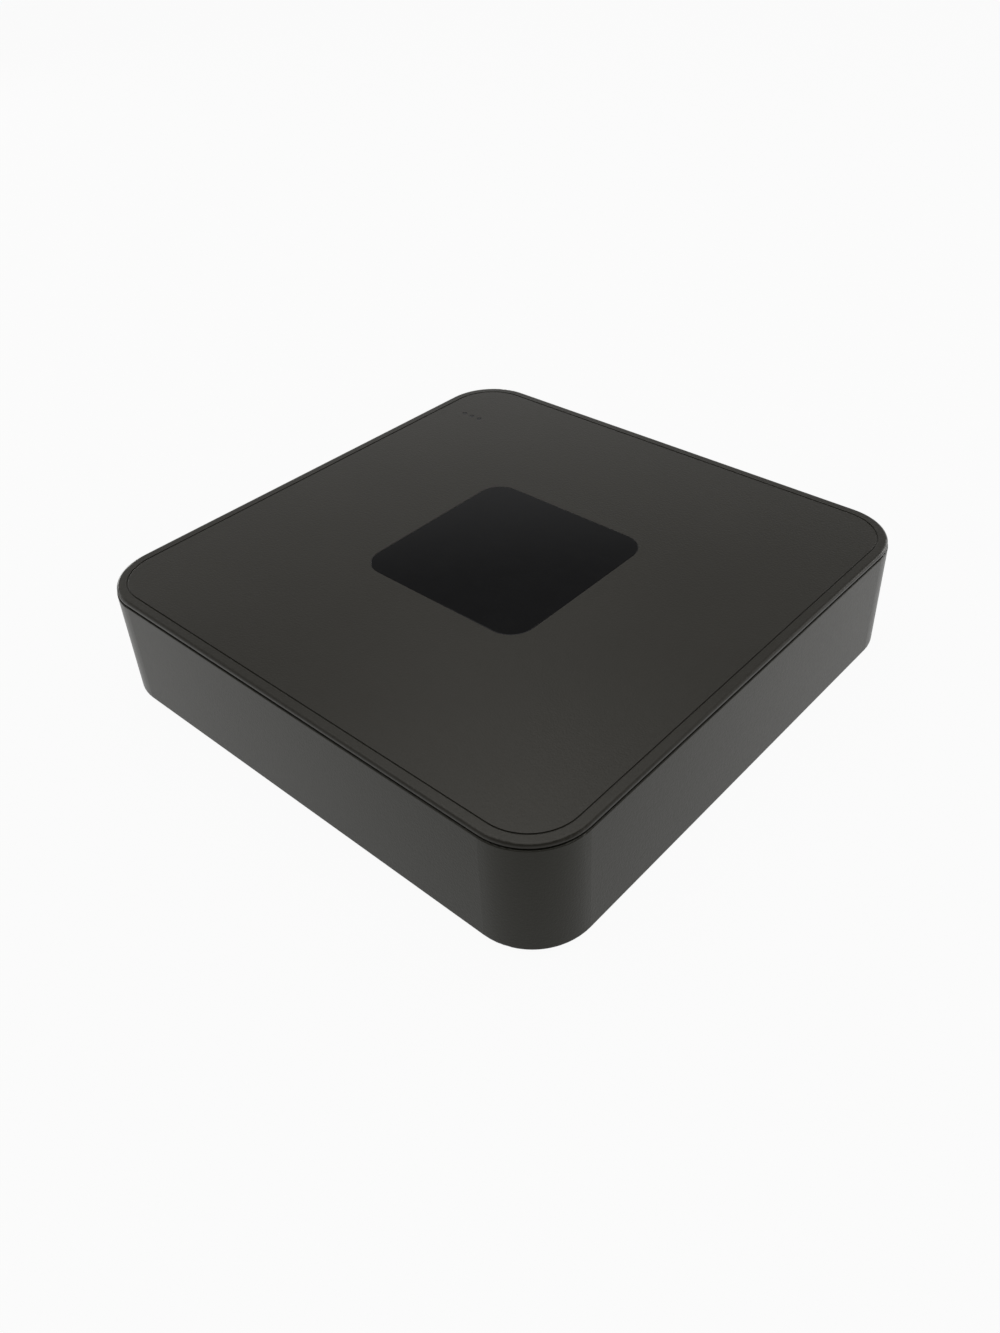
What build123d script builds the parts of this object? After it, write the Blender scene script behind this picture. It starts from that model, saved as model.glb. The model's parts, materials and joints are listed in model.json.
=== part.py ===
from build123d import *
import math
import os

# A compact four-channel video recorder in a square moulded case, built piece by piece, in millimetres.
# Everything is laid out about the middle of the case: +X to the right, -Y the front, +Y the rear with
# the sockets, +Z up, and Z = 0 the surface that the feet stand on. At export every piece is moved along
# Y, so that the origin is the middle of the whole recorder with its sockets.

# Case shell
case_width = 205.0
case_depth = 205.0
case_height = 45.0
corner_radius = 21.5
case_wall = 2.2
floor_thickness = 2.2
floor_edge_radius = 1.2
foot_height = 2.0
foot_radius = 6.5
foot_recess = 0.5
foot_from_side = 24.5

# Top cover
cover_inset = 0.3
cover_thickness = 2.2
cover_edge_height = 1.5
cover_edge_radius = 1.0
reveal_gap = 0.7
reveal_depth = 0.9
wall_edge_radius = 0.35
groove_from_edge = 3.7
groove_width = 0.55
groove_depth = 0.4
groove_edge_radius = 0.12
lip_depth = 4.5
lip_thickness = 1.4
lip_clearance = 0.25
cover_rib_thickness = 1.2
cover_rib_height = 2.5
cover_rib_pitch = 38.0

# Badge plate
badge_size = 72.0
badge_radius = 9.0
badge_thickness = 0.6
badge_gap = 0.1
badge_edge_radius = 0.15

# Case screws and their posts
post_from_side = 13.5
case_post_radius = 4.2
case_post_top = 17.3
cover_post_radius = 3.7
post_gap = 0.2
case_screw_radius = 1.4
screw_head_radius = 2.8
screw_head_height = 2.0
case_screw_seat = 13.5
case_screw_grip = 8.5
pilot_spare = 1.5
screw_hole_clearance = 0.3
thread_clearance = 0.08
head_clearance = 0.4
cross_length = 3.2
cross_width = 0.8
cross_depth = 1.2

# Main board
standoff_height = 5.0
standoff_radius = 3.2
board_thickness = 1.6
board_depth = 72.4
board_side_gap = 6.3
board_plate_gap = 0.8
board_notch_clearance = 0.35
board_notch_depth = 17.0
board_screw_radius = 1.25
board_screw_head = 1.6
board_hole_radius = 1.7
board_mount_inset = 4.5
board_rear_mount_from_front = 38.0

# Rear plate and window
plate_thickness = 1.0
plate_play = 0.1
plate_side_overlap = 2.0
plate_top_overlap = 1.5
window_bottom = 8.0
window_below_cover = 6.6
guide_thickness = 1.4
guide_reach = 1.8
socket_hole_gap = 0.3
socket_spacing = 1.0
plate_to_block = 0.2

# Video input sockets (bayonet)
video_count = 4
video_block_width = 13.6
video_block_height = 16.4
video_block_depth = 13.0
video_axis_height = 9.5
video_barrel_radius = 4.83
video_barrel_bore = 4.1
video_collar_radius = 6.2
video_collar_out = 1.6
video_reach = 9.5
video_lug_radius = 1.0
video_lug_span = 5.5
video_lug_from_tip = 4.8
video_core_radius = 2.4
video_core_back = 1.6
video_contact_radius = 1.0
video_contact_bore = 0.65
video_contact_depth = 6.0
video_seat_depth = 4.0
video_shell_end = 1.0
seat_clearance = 0.02

# Audio sockets (stacked pair)
audio_block_width = 10.4
audio_block_height = 23.6
audio_block_depth = 11.0
audio_axis_heights = (6.0, 18.0)
audio_barrel_radius = 4.15
audio_barrel_bore = 3.6
audio_root_radius = 3.9
audio_root_past_collar = 0.2
audio_reach = 8.5
audio_collar_radius = 4.95
audio_collar_out = 1.4
audio_pin_bore = 1.65
audio_core_back = 0.4

# Monitor socket (15 way)
monitor_flange_width = 30.8
monitor_flange_height = 12.5
monitor_body_depth = 10.0
monitor_flange_thickness = 0.9
monitor_shell_width = 16.9
monitor_shell_height = 8.4
monitor_shell_wall = 0.45
monitor_shell_out = 5.8
monitor_shell_slope = 10.0
monitor_shell_radius = 2.2
monitor_core_back = 0.6
monitor_pin_pitch = 2.29
monitor_row_pitch = 1.98
monitor_pin_radius = 0.5
monitor_pin_depth = 4.0
jack_spacing = 24.99
jack_width = 5.0
jack_out = 5.2
jack_thread_radius = 1.42
jack_thread_depth = 4.8
jack_stud_radius = 1.75
jack_stud_length = 4.8
jack_root = 5.0
jack_clearance = 0.1

# Digital video socket
digital_width = 15.0
digital_height = 5.6
digital_depth = 11.0
digital_wall = 0.45
digital_corner = 1.6
digital_lift = 0.3
digital_tongue_width = 10.6
digital_tongue_thickness = 1.1
digital_tongue_back = 1.0
digital_tongue_lift = 0.35
digital_back_wall = 1.0

# Network socket
network_width = 15.9
network_height = 13.4
network_depth = 21.0
network_cavity_width = 11.8
network_cavity_height = 8.2
network_cavity_depth = 14.5
network_cavity_lift = 1.2
network_latch_width = 6.3
network_latch_height = 3.2
network_wire_count = 8
network_wire_pitch = 1.02
network_wire_radius = 0.2
network_wire_drop = 2.2

# Serial bus sockets (stacked pair)
serial_width = 13.2
serial_height = 15.7
serial_depth = 17.5
serial_bay_width = 12.4
serial_bay_height = 5.2
serial_bay_depth = 13.0
serial_bay_lifts = (1.1, 9.2)
serial_tongue_width = 11.1
serial_tongue_thickness = 1.85
serial_tongue_depth = 9.6
serial_tongue_gap = 0.7

# Power inlet
inlet_width = 9.0
inlet_height = 11.0
inlet_depth = 14.2
inlet_bore_radius = 3.15
inlet_bore_depth = 9.5
inlet_axis_height = 6.5
inlet_pin_radius = 1.0
inlet_pin_back = 0.8
socket_face_out = 0.8

# Board components
processor_size = 19.0
processor_height = 1.6
processor_at = (-12.0, 32.0)
heatsink_size = 38.0
heatsink_base = 2.2
heatsink_height = 11.0
heatsink_fins = 11
heatsink_fin_thickness = 1.1
memory_size = (13.3, 9.2, 1.1)
memory_at = ((18.5, 40.0), (18.5, 26.0))
decoder_size = (14.0, 14.0, 1.2)
decoder_at = ((48.0, 40.0), (70.0, 40.0))
small_chips = ((36.0, 24.0, 5.2, 4.0, 1.6), (-44.0, 24.0, 6.0, 6.0, 0.9), (-62.0, 12.0, 5.0, 6.2, 1.6))
transformer_size = (12.6, 9.5, 5.6)
transformer_at = (-48.0, 40.0)
capacitors = (
    (-66.0, 45.0, 4.0, 8.5),
    (-66.0, 33.0, 3.2, 7.5),
    (-76.0, 22.0, 3.2, 7.5),
    (50.0, 20.0, 3.2, 7.5),
)
inductors = ((-64.0, 22.0), (-52.0, 12.0), (-34.0, 10.0))
inductor_size = (6.8, 6.8, 3.4)
buzzer_radius = 6.0
buzzer_height = 8.5
buzzer_hole_radius = 1.2
buzzer_at = (-80.0, 8.0)
cell_radius = 8.0
cell_thickness = 2.5
cell_holder_radius = 9.6
cell_holder_height = 3.6
cell_clearance = 0.15
cell_at = (34.0, 10.0)

# Status lights
light_count = 3
light_pitch = 4.2
light_from_left = 19.7
light_from_rear = 30.8
light_body = (2.4, 1.6, 1.0)
pipe_radius = 0.95
pipe_hole_clearance = 0.1
pipe_air_gap = 0.6
pipe_bar_depth = 4.0
pipe_bar_thickness = 1.5
pipe_recess = 0.08

# Disk drive
drive_length = 147.0
drive_width = 101.6
drive_height = 26.1
drive_from_left = 2.8
drive_from_front = 18.3
drive_lift = 4.0
drive_cover_thickness = 1.0
drive_cover_inset = 0.4
cover_screw_radius = 2.2
cover_screw_from_edge = 2.9
drive_wall = 3.0
drive_end_wall = 11.0
drive_well_radius = 48.6
drive_well_depth = 16.5
drive_board_recess = 3.2
drive_board_margin = 5.0
drive_card_thickness = 1.2
drive_chip_size = (12.0, 0.8)
drive_chip_at = ((-20.0, 10.0), (25.0, -8.0), (0.0, -25.0))
drive_hole_span = 95.25
drive_hole_first = 41.28
drive_hole_pitch = 44.45
drive_thread_radius = 1.75
drive_thread_depth = 5.0
drive_screw_radius = 1.65
drive_boss_radius = 5.4
drive_head_radius = 3.4
drive_head_height = 2.2
drive_head_seat = 2.3
disc_radius = 47.5
disc_thickness = 1.27
disc_levels = (4.2, 9.6)
disc_bore_gap = 0.05
spindle_from_end = 52.0
hub_radius = 12.5
hub_flange_radius = 16.0
hub_base_gap = 0.6
spacer_radius = 16.0
clamp_radius = 16.5
clamp_thickness = 1.6
shaft_radius = 2.5
running_clearance = 0.05
clamp_screw_count = 6
clamp_screw_circle = 8.5
clamp_screw_radius = 1.3
clamp_screw_depth = 0.9

# Head arm of the drive
arm_pivot_offset = (54.0, -20.0)
arm_length = 50.0
arm_park_angle = 105.5
arm_pivot_radius = 4.0
arm_barrel_radius = 8.0
arm_plate_thickness = 0.9
arm_root_width = 12.0
arm_tip_width = 3.0
arm_levels = (1.9, 7.3, 12.7)
coil_inner = 11.5
coil_outer = 24.0
coil_half_angle = 17.0
fork_half_angle = 34.0
coil_width = 3.2
coil_thickness = 2.4
coil_level = 7.0
yoke_inner = 10.5
yoke_outer = 25.8
yoke_from = 256.0
yoke_to = 344.0
yoke_thickness = 2.4
yoke_gap = 1.1
yoke_pillar_radius = 1.6
yoke_pillar_circle = 22.5
yoke_pillar_angle = 4.8

# Drive leads
data_from_centre = 24.0
power_from_data = 18.6
drive_socket_depth = 6.5
drive_socket_height = 8.6
drive_socket_width = 37.5
blade_thickness = 1.2
blade_reach = 4.6
plug_slot_gap = 0.15
plug_gap = 0.3
socket_clearance = 0.2
socket_back = 1.6
plug_side = 1.6
data_plug = (14.0, 13.5, 6.0)
power_plug = (14.0, 22.4, 6.4)
plug_height = 4.6
plug_edge_radius = 0.8
data_cord_radius = 2.0
data_socket_from_right = 16.0
data_board_plug = (13.5, 15.0, 6.0)
plug_overlap = 4.0
data_socket_size = (16.0, 7.0, 6.6)
power_wire_radius = 0.8
power_wire_pitch = 2.5
power_header_at = (60.0, 9.0)
power_header_size = (12.4, 5.8, 6.5)
power_header_plug = (11.0, 4.4, 9.0)
power_header_floor = 1.5

# Ventilation
drive_vents = dict(rows=2, count=13, length=28.0, width=2.4, pitch=6.0, row_pitch=36.0)
board_vents = dict(rows=1, count=11, length=30.0, width=2.4, pitch=6.0, row_pitch=0.0)
board_vents_from_rear = 48.0

# Levels and places that follow
half_width = case_width / 2
half_depth = case_depth / 2
floor_bottom = foot_height
floor_top = floor_bottom + floor_thickness
cover_top = case_height
cover_seat = cover_top - cover_edge_height
wall_top = cover_seat - reveal_gap
cover_under = cover_top - cover_thickness
window_top = cover_under - window_below_cover
inner_width = case_width - 2 * case_wall
inner_depth = case_depth - 2 * case_wall
inner_radius = corner_radius - case_wall
corners = [(side, end) for side in (-1, 1) for end in (-1, 1)]
post_places = [(x * (half_width - post_from_side), y * (half_depth - post_from_side)) for x, y in corners]
foot_places = [(x * (half_width - foot_from_side), y * (half_depth - foot_from_side)) for x, y in corners]

case_screw_length = case_post_top - case_screw_seat + case_screw_grip

plate_front = inner_depth / 2 - plate_play
plate_back = plate_front - plate_thickness
block_face = plate_back - plate_to_block
flush_face = plate_front + socket_face_out

board_bottom = floor_top + standoff_height
board_top = board_bottom + board_thickness
board_rear = plate_back - board_plate_gap
board_front = board_rear - board_depth
board_width = inner_width - 2 * board_side_gap
board_mounts = [
    (side * (board_width / 2 - board_mount_inset), board_front + along)
    for side in (-1, 1)
    for along in (board_mount_inset, board_rear_mount_from_front)
]

drive_bottom = floor_top + drive_lift
drive_top = drive_bottom + drive_height
drive_left = -inner_width / 2 + drive_from_left
drive_right = drive_left + drive_length
drive_x = (drive_left + drive_right) / 2
drive_y = -inner_depth / 2 + drive_from_front + drive_width / 2
casting_top = drive_top - drive_cover_thickness
well_floor = casting_top - drive_well_depth
spindle_x = drive_left + spindle_from_end
pivot_x = spindle_x + arm_pivot_offset[0]
pivot_y = drive_y + arm_pivot_offset[1]
drive_mounts = [
    (drive_right - drive_hole_first - step * drive_hole_pitch, drive_y + side * drive_hole_span / 2)
    for step in (0, 1)
    for side in (-1, 1)
]
recess_length = drive_length - 2 * drive_board_margin
recess_width = drive_hole_span - 2 * drive_thread_radius - 2 * drive_board_margin
data_y = drive_y + data_from_centre
power_y = data_y - power_from_data
drive_socket_y = (data_y + power_y) / 2 + (data_plug[1] - power_plug[1]) / 4
plug_level = drive_bottom + plug_height

plug_mouth = drive_right - drive_socket_depth + socket_back + plug_gap
data_socket_x = board_width / 2 - data_socket_from_right

light_x = -half_width + light_from_left
light_y = half_depth - light_from_rear
light_places = [(light_x + (i - (light_count - 1) / 2) * light_pitch, light_y) for i in range(light_count)]

rear_reach = video_reach
row_shift = -rear_reach / 2


def socket_row():
    """Middle of each socket along X, packed side by side and centred on the flat of the rear wall."""
    widths = [("inlet", inlet_width), ("serial", serial_width), ("network", network_width)]
    widths += [("digital", digital_width), ("monitor", monitor_flange_width), ("audio", audio_block_width)]
    widths += [(f"video_{i + 1}", video_block_width) for i in range(video_count)]
    total = sum(w for _, w in widths) + socket_spacing * (len(widths) - 1)
    place, x = {}, -total / 2
    for name, width in widths:
        place[name] = x + width / 2
        x += width + socket_spacing
    return place, total


socket_x, socket_span = socket_row()
window_width = socket_span + 2 * socket_hole_gap
plate_width = window_width + 2 * plate_side_overlap
board_notch_width = (board_width - plate_width) / 2 + guide_reach + board_notch_clearance
video_z = board_top + video_axis_height
audio_z = [board_top + height for height in audio_axis_heights]
monitor_z = board_top + monitor_flange_height / 2
digital_z = board_top + digital_lift + digital_height / 2
network_z = board_top + network_height / 2
inlet_z = board_top + inlet_axis_height
video_x = [socket_x[f"video_{i + 1}"] for i in range(video_count)]
jack_hole_radius = jack_stud_radius + jack_clearance
jack_x = [socket_x["monitor"] + side * jack_spacing / 2 for side in (-1, 1)]
square_sockets = {
    "network": (network_width, network_height),
    "serial": (serial_width, serial_height),
    "inlet": (inlet_width, inlet_height),
}


# Shapes used throughout
def block(width, depth, height, x=0.0, y=0.0, z=0.0):
    """A box centred on x and y that stands on z."""
    return Pos(x, y, z) * Box(width, depth, height, align=(Align.CENTER, Align.CENTER, Align.MIN))


def post(radius, height, x=0.0, y=0.0, z=0.0):
    """An upright cylinder that stands on z."""
    return Pos(x, y, z) * Cylinder(radius, height, align=(Align.CENTER, Align.CENTER, Align.MIN))


def slab(width, depth, radius, height, x=0.0, y=0.0, z=0.0):
    """An upright prism with rounded corners that stands on z."""
    return Pos(x, y, z) * extrude(RectangleRounded(width, depth, radius), height)


def rod(radius, start, end, x=0.0, z=0.0):
    """A cylinder along Y from start to end."""
    return Pos(x, start, z) * Rot(-90, 0, 0) * post(radius, end - start)


def panel(sketch, start, end, x=0.0, z=0.0):
    """A sketch drawn as it looks from the front, run along Y from start to end."""
    return Pos(x, start, z) * Rot(90, 0, 0) * extrude(sketch, -(end - start))


def bar(width, height, start, end, x=0.0, z=0.0):
    """A box along Y from start to end, centred on x and z."""
    return panel(Rectangle(width, height), start, end, x, z)


def sector(inner, outer, start, stop, height, x=0.0, y=0.0, z=0.0):
    """Part of a flat ring between two angles in degrees, standing on z."""
    ring = Circle(outer) - Circle(inner)
    reach = 2 * outer
    steps = [start + (stop - start) * i / 4 for i in range(5)]
    fan = [(0, 0)] + [(reach * math.cos(math.radians(a)), reach * math.sin(math.radians(a))) for a in steps]
    return Pos(x, y, z) * extrude(ring & make_face(Polyline(*fan, close=True)), height)


def joined(pieces):
    """Separate solids kept together in one node."""
    return Compound(children=[solid for piece in pieces for solid in piece.solids()])


def pan_screw(shank_radius, head_radius, head_height, length):
    """A screw pointing up, its head under z = 0 with a cross recess in it."""
    head = post(head_radius, head_height, z=-head_height)
    head = fillet(head.edges().group_by(Axis.Z)[0], head_height * 0.35)
    cross = block(cross_length, cross_width, cross_depth) + block(cross_width, cross_length, cross_depth)
    shank = post(shank_radius, length)
    shank = chamfer(shank.edges().group_by(Axis.Z)[-1], shank_radius * 0.45)
    return head + shank - Pos(0, 0, -head_height) * cross


def flipped(shape, x, y, z):
    """A shape made pointing up, turned to point down, at a place."""
    return Pos(x, y, z) * Rot(180, 0, 0) * shape


# Case
def vent_slots(layout, y):
    """Slots through the floor in rows along X."""
    slots = []
    for row in range(layout["rows"]):
        for i in range(layout["count"]):
            x = (i - (layout["count"] - 1) / 2) * layout["pitch"]
            at = y + (row - (layout["rows"] - 1) / 2) * layout["row_pitch"]
            slot = extrude(SlotOverall(layout["length"], layout["width"], rotation=90), floor_thickness * 3)
            slots.append(Pos(x, at, floor_bottom - floor_thickness) * slot)
    return slots


def bottom_case():
    """Tray with the four walls, posts, standoffs and drive bosses."""
    body = slab(case_width, case_depth, corner_radius, wall_top - floor_bottom, z=floor_bottom)
    body = fillet(body.edges().group_by(Axis.Z)[0], floor_edge_radius)
    body = fillet(body.edges().group_by(Axis.Z)[-1], wall_edge_radius)
    step_width, step_depth = case_width - 2 * reveal_depth, case_depth - 2 * reveal_depth
    body += slab(step_width, step_depth, corner_radius - reveal_depth, cover_seat - floor_top, z=floor_top)
    body -= slab(inner_width, inner_depth, inner_radius, case_height, z=floor_top)
    add, cut = [], []
    for x, y in post_places:
        add.append(post(case_post_radius, case_post_top - floor_top, x, y, floor_top))
        cut.append(post(case_screw_radius + screw_hole_clearance, case_height, x, y))
        cut.append(post(screw_head_radius + head_clearance, case_screw_seat, x, y))
    for x, y in board_mounts:
        add.append(post(standoff_radius, standoff_height, x, y, floor_top))
        cut.append(post(board_screw_radius + thread_clearance, standoff_height + 1, x, y, floor_top - 1))
    for x, y in drive_mounts:
        add.append(post(drive_boss_radius, drive_lift, x, y, floor_top))
        cut.append(post(drive_screw_radius + screw_hole_clearance, drive_bottom, x, y))
        cut.append(post(drive_head_radius + head_clearance, drive_bottom - drive_head_seat, x, y))
    add += plate_guides()
    window_height = window_top - window_bottom
    cut.append(block(window_width, 4 * case_wall, window_height, 0, half_depth, window_bottom))
    for x, y in foot_places:
        cut.append(post(foot_radius, foot_recess, x, y, floor_bottom))
    cut += vent_slots(drive_vents, drive_y)
    cut += vent_slots(board_vents, half_depth - board_vents_from_rear)
    return body + add - cut


def plate_guides():
    """Upright ribs that hold the two ends of the rear plate against the rear wall."""
    height = window_top - floor_top
    rib_y = plate_back - plate_play - guide_thickness / 2
    end_depth = inner_depth / 2 - rib_y
    guides = []
    for side in (-1, 1):
        end_x = side * (plate_width / 2 + plate_play + guide_thickness / 2)
        rib_x = end_x - side * guide_reach / 2
        rib_width = guide_reach + guide_thickness
        guides.append(block(rib_width, guide_thickness, height, rib_x, rib_y, floor_top))
        guides.append(block(guide_thickness, end_depth, height, end_x, rib_y + end_depth / 2, floor_top))
    return guides


def top_cover():
    """Flat cover with a fine groove near its edge, a badge recess, a locating lip and four posts."""
    width, depth = case_width - 2 * cover_inset, case_depth - 2 * cover_inset
    radius = corner_radius - cover_inset
    body = slab(width, depth, radius, cover_edge_height, z=cover_seat)
    body = fillet(body.edges().group_by(Axis.Z)[-1], cover_edge_radius)
    lip_inset = case_wall + lip_clearance
    lip_width, lip_length = case_width - 2 * lip_inset, case_depth - 2 * lip_inset
    room_width, room_length = lip_width - 2 * lip_thickness, lip_length - 2 * lip_thickness
    lip_radius = corner_radius - lip_inset
    lip_bottom = cover_under - lip_depth
    body += slab(lip_width, lip_length, lip_radius, cover_seat - lip_bottom, z=lip_bottom)
    body -= slab(room_width, room_length, lip_radius - lip_thickness, lip_depth, z=lip_bottom)
    pocket_size = badge_size + 2 * badge_gap
    pocket = slab(pocket_size, pocket_size, badge_radius + badge_gap, badge_thickness)
    outer_line = groove_from_edge - groove_width / 2
    inner_line = groove_from_edge + groove_width / 2
    groove = slab(width - 2 * outer_line, depth - 2 * outer_line, radius - outer_line, groove_depth)
    groove -= slab(width - 2 * inner_line, depth - 2 * inner_line, radius - inner_line, groove_depth)
    body -= Pos(0, 0, cover_top - groove_depth) * groove
    lines = body.edges().filter_by_position(Axis.Z, cover_top - 0.01, cover_top + 0.01)
    groove_lines = [e for e in lines if distance_inside(e, width, depth) > outer_line - 0.05]
    body = fillet(groove_lines, groove_edge_radius)
    body -= Pos(0, 0, cover_top - badge_thickness) * pocket
    ribs = []
    rib_bottom = cover_under - cover_rib_height
    for i in (-1, 0, 1):
        at = i * cover_rib_pitch
        ribs.append(block(cover_rib_thickness, room_length, cover_rib_height, at, 0, rib_bottom))
        ribs.append(block(room_width, cover_rib_thickness, cover_rib_height, 0, at, rib_bottom))
    post_bottom = case_post_top + post_gap
    ribs += [post(cover_post_radius, cover_under - post_bottom, x, y, post_bottom) for x, y in post_places]
    screw_end = case_screw_seat + case_screw_length
    pilot_radius = case_screw_radius + thread_clearance
    holes = [post(pilot_radius, screw_end + pilot_spare, x, y) for x, y in post_places]
    holes += [post(pipe_radius + pipe_hole_clearance, case_height, x, y) for x, y in light_places]
    return body + ribs - holes


def distance_inside(edge, width, depth):
    """How far the middle of an edge lies inside the cover's outline."""
    middle = edge @ 0.5
    return min(width / 2 - abs(middle.X), depth / 2 - abs(middle.Y))


def top_badge():
    plate = slab(badge_size, badge_size, badge_radius, badge_thickness, z=cover_top - badge_thickness)
    return fillet(plate.edges().group_by(Axis.Z)[-1], badge_edge_radius)


def light_pipes():
    """Three clear rods on one bar, set in the cover above the status lights."""
    top = cover_top - pipe_recess
    bottom = board_top + light_body[2] + pipe_air_gap
    rods = [post(pipe_radius, top - bottom, x, y, bottom) for x, y in light_places]
    bar_width = (light_count - 1) * light_pitch + pipe_bar_depth
    carrier = slab(bar_width, pipe_bar_depth, pipe_bar_depth * 0.4, pipe_bar_thickness)
    return Pos(light_x, light_y, cover_under - pipe_bar_thickness) * carrier + rods


def rubber_feet():
    feet = []
    for x, y in foot_places:
        foot = post(foot_radius, foot_height + foot_recess)
        feet.append(Pos(x, y, 0) * fillet(foot.edges().group_by(Axis.Z)[0], 0.6))
    return joined(feet)


def case_screws():
    screw = pan_screw(case_screw_radius, screw_head_radius, screw_head_height, case_screw_length)
    return joined([Pos(x, y, case_screw_seat) * screw for x, y in post_places])


# Rear plate
def monitor_outline(grow=0.0):
    """The five-sided outline with round corners of the 15 way socket, wide side up."""
    half = monitor_shell_width / 2 + grow
    high = monitor_shell_height / 2 + grow
    lean = 2 * high * math.tan(math.radians(monitor_shell_slope))
    points = [(-half, high), (half, high), (half - lean, -high), (-half + lean, -high)]
    outline = make_face(Polyline(*points, close=True))
    return fillet(outline.vertices(), monitor_shell_radius + grow)


def digital_outline(grow=0.0):
    """Wide flat outline whose lower corners are cut off."""
    half, high = digital_width / 2 + grow, digital_height / 2 + grow
    side_end, base_end = -high + digital_corner, half - digital_corner
    right = [(half, high), (half, side_end), (base_end, -high)]
    left = [(-x, y) for x, y in reversed(right)]
    return make_face(Polyline(*right, *left, close=True))


def rear_plate():
    """Sheet steel plate that closes the rear window, with a hole for each socket."""
    height = window_top + plate_top_overlap - floor_top
    plate = block(plate_width, plate_thickness, height, 0, (plate_front + plate_back) / 2, floor_top)
    reach = (plate_back - 1, plate_front + 1)
    gap = socket_hole_gap
    cuts = [rod(video_collar_radius + gap, *reach, x, video_z) for x in video_x]
    cuts += [rod(audio_collar_radius + gap, *reach, socket_x["audio"], z) for z in audio_z]
    cuts.append(panel(monitor_outline(monitor_shell_wall + gap), *reach, socket_x["monitor"], monitor_z))
    cuts += [rod(jack_width / math.sqrt(3) + gap, *reach, x, monitor_z) for x in jack_x]
    cuts.append(panel(digital_outline(gap), *reach, socket_x["digital"], digital_z))
    for name, size in square_sockets.items():
        opening = Rectangle(size[0] + 2 * gap, size[1] + 2 * gap)
        cuts.append(panel(opening, *reach, socket_x[name], board_top + size[1] / 2))
    return plate - cuts


# Sockets
def video_blocks():
    blocks = []
    middle = block_face - video_block_depth / 2
    seat_radius = video_barrel_radius + seat_clearance
    for x in video_x:
        body = block(video_block_width, video_block_depth, video_block_height, x, middle, board_top)
        seat = rod(seat_radius, block_face - video_seat_depth, block_face, x, video_z)
        blocks.append(body - seat)
    return joined(blocks)


def video_shell(x):
    """Metal barrel with its collar and two bayonet lugs."""
    tip = half_depth + video_reach
    seat = block_face - video_seat_depth
    shell = rod(video_barrel_radius, seat, tip, x, video_z)
    shell += rod(video_collar_radius, block_face, plate_front + video_collar_out, x, video_z)
    lugs = Rot(0, 90, 0) * Cylinder(video_lug_radius, 2 * video_lug_span)
    shell += Pos(x, tip - video_lug_from_tip, video_z) * lugs
    return shell - rod(video_barrel_bore, seat + video_shell_end, tip, x, video_z)


def video_cores():
    """White insulator inside each video barrel."""
    root = block_face - video_seat_depth + video_shell_end
    tip = half_depth + video_reach - video_core_back
    cores = []
    for x in video_x:
        core = rod(video_barrel_bore - seat_clearance, root, block_face, x, video_z)
        core += rod(video_core_radius, root, tip, x, video_z)
        cores.append(core - rod(video_contact_radius + seat_clearance, root + 1, tip, x, video_z))
    return joined(cores)


def video_contacts():
    root = block_face - video_seat_depth + video_shell_end + 1
    tip = half_depth + video_reach - video_core_back - 0.2
    contacts = []
    for x in video_x:
        contact = rod(video_contact_radius, root, tip, x, video_z)
        contacts.append(contact - rod(video_contact_bore, tip - video_contact_depth, tip, x, video_z))
    return joined(contacts)


def audio_block():
    x, middle = socket_x["audio"], block_face - audio_block_depth / 2
    return block(audio_block_width, audio_block_depth, audio_block_height, x, middle, board_top)


def audio_shells():
    """Metal barrels, a little thinner at the root where the coloured rings sit."""
    x = socket_x["audio"]
    tip = half_depth + audio_reach
    root_end = plate_front + audio_collar_out + audio_root_past_collar
    shells = []
    for z in audio_z:
        shell = rod(audio_barrel_radius, root_end, tip, x, z)
        shell += rod(audio_root_radius, block_face, root_end, x, z)
        shells.append(shell - rod(audio_barrel_bore, block_face, tip, x, z))
    return joined(shells)


def audio_insulator(z):
    """Coloured plastic of one audio socket: the ring round its barrel and the core inside it."""
    x = socket_x["audio"]
    tip = half_depth + audio_reach - audio_core_back
    rim = plate_front + audio_collar_out
    core = rod(audio_barrel_bore - seat_clearance, block_face, tip, x, z)
    core -= rod(audio_pin_bore, block_face + 1, tip, x, z)
    ring = rod(audio_collar_radius, block_face, rim, x, z)
    ring -= rod(audio_root_radius + seat_clearance, block_face, rim, x, z)
    return joined([core, ring])


def monitor_socket():
    """Plastic body of the 15 way socket with its three rows of holes."""
    x = socket_x["monitor"]
    flange_back = block_face - monitor_flange_thickness
    tip = block_face + monitor_shell_out
    back = flange_back - monitor_body_depth
    body = bar(monitor_flange_width, monitor_flange_height, back, flange_back, x, monitor_z)
    core = panel(monitor_outline(-seat_clearance), flange_back, tip - monitor_core_back, x, monitor_z)
    holes = []
    for row in (-1, 0, 1):
        shift = monitor_pin_pitch / 4 if row == 0 else -monitor_pin_pitch / 4
        row_z = monitor_z + row * monitor_row_pitch
        places = [x + (i - 2) * monitor_pin_pitch + shift for i in range(5)]
        holes += [rod(monitor_pin_radius, tip - monitor_pin_depth, tip, at, row_z) for at in places]
    holes += [rod(jack_hole_radius, block_face - jack_root, flange_back, at, monitor_z) for at in jack_x]
    return body + core - holes


def monitor_shell():
    """Pressed metal flange and collar of the 15 way socket."""
    x = socket_x["monitor"]
    flange_back = block_face - monitor_flange_thickness
    shell = bar(monitor_flange_width, monitor_flange_height, flange_back, block_face, x, monitor_z)
    tip = block_face + monitor_shell_out
    shell += panel(monitor_outline(monitor_shell_wall), flange_back, tip, x, monitor_z)
    shell -= panel(monitor_outline(), flange_back, tip, x, monitor_z)
    return shell - [rod(jack_hole_radius, flange_back, block_face, at, monitor_z) for at in jack_x]


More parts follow.
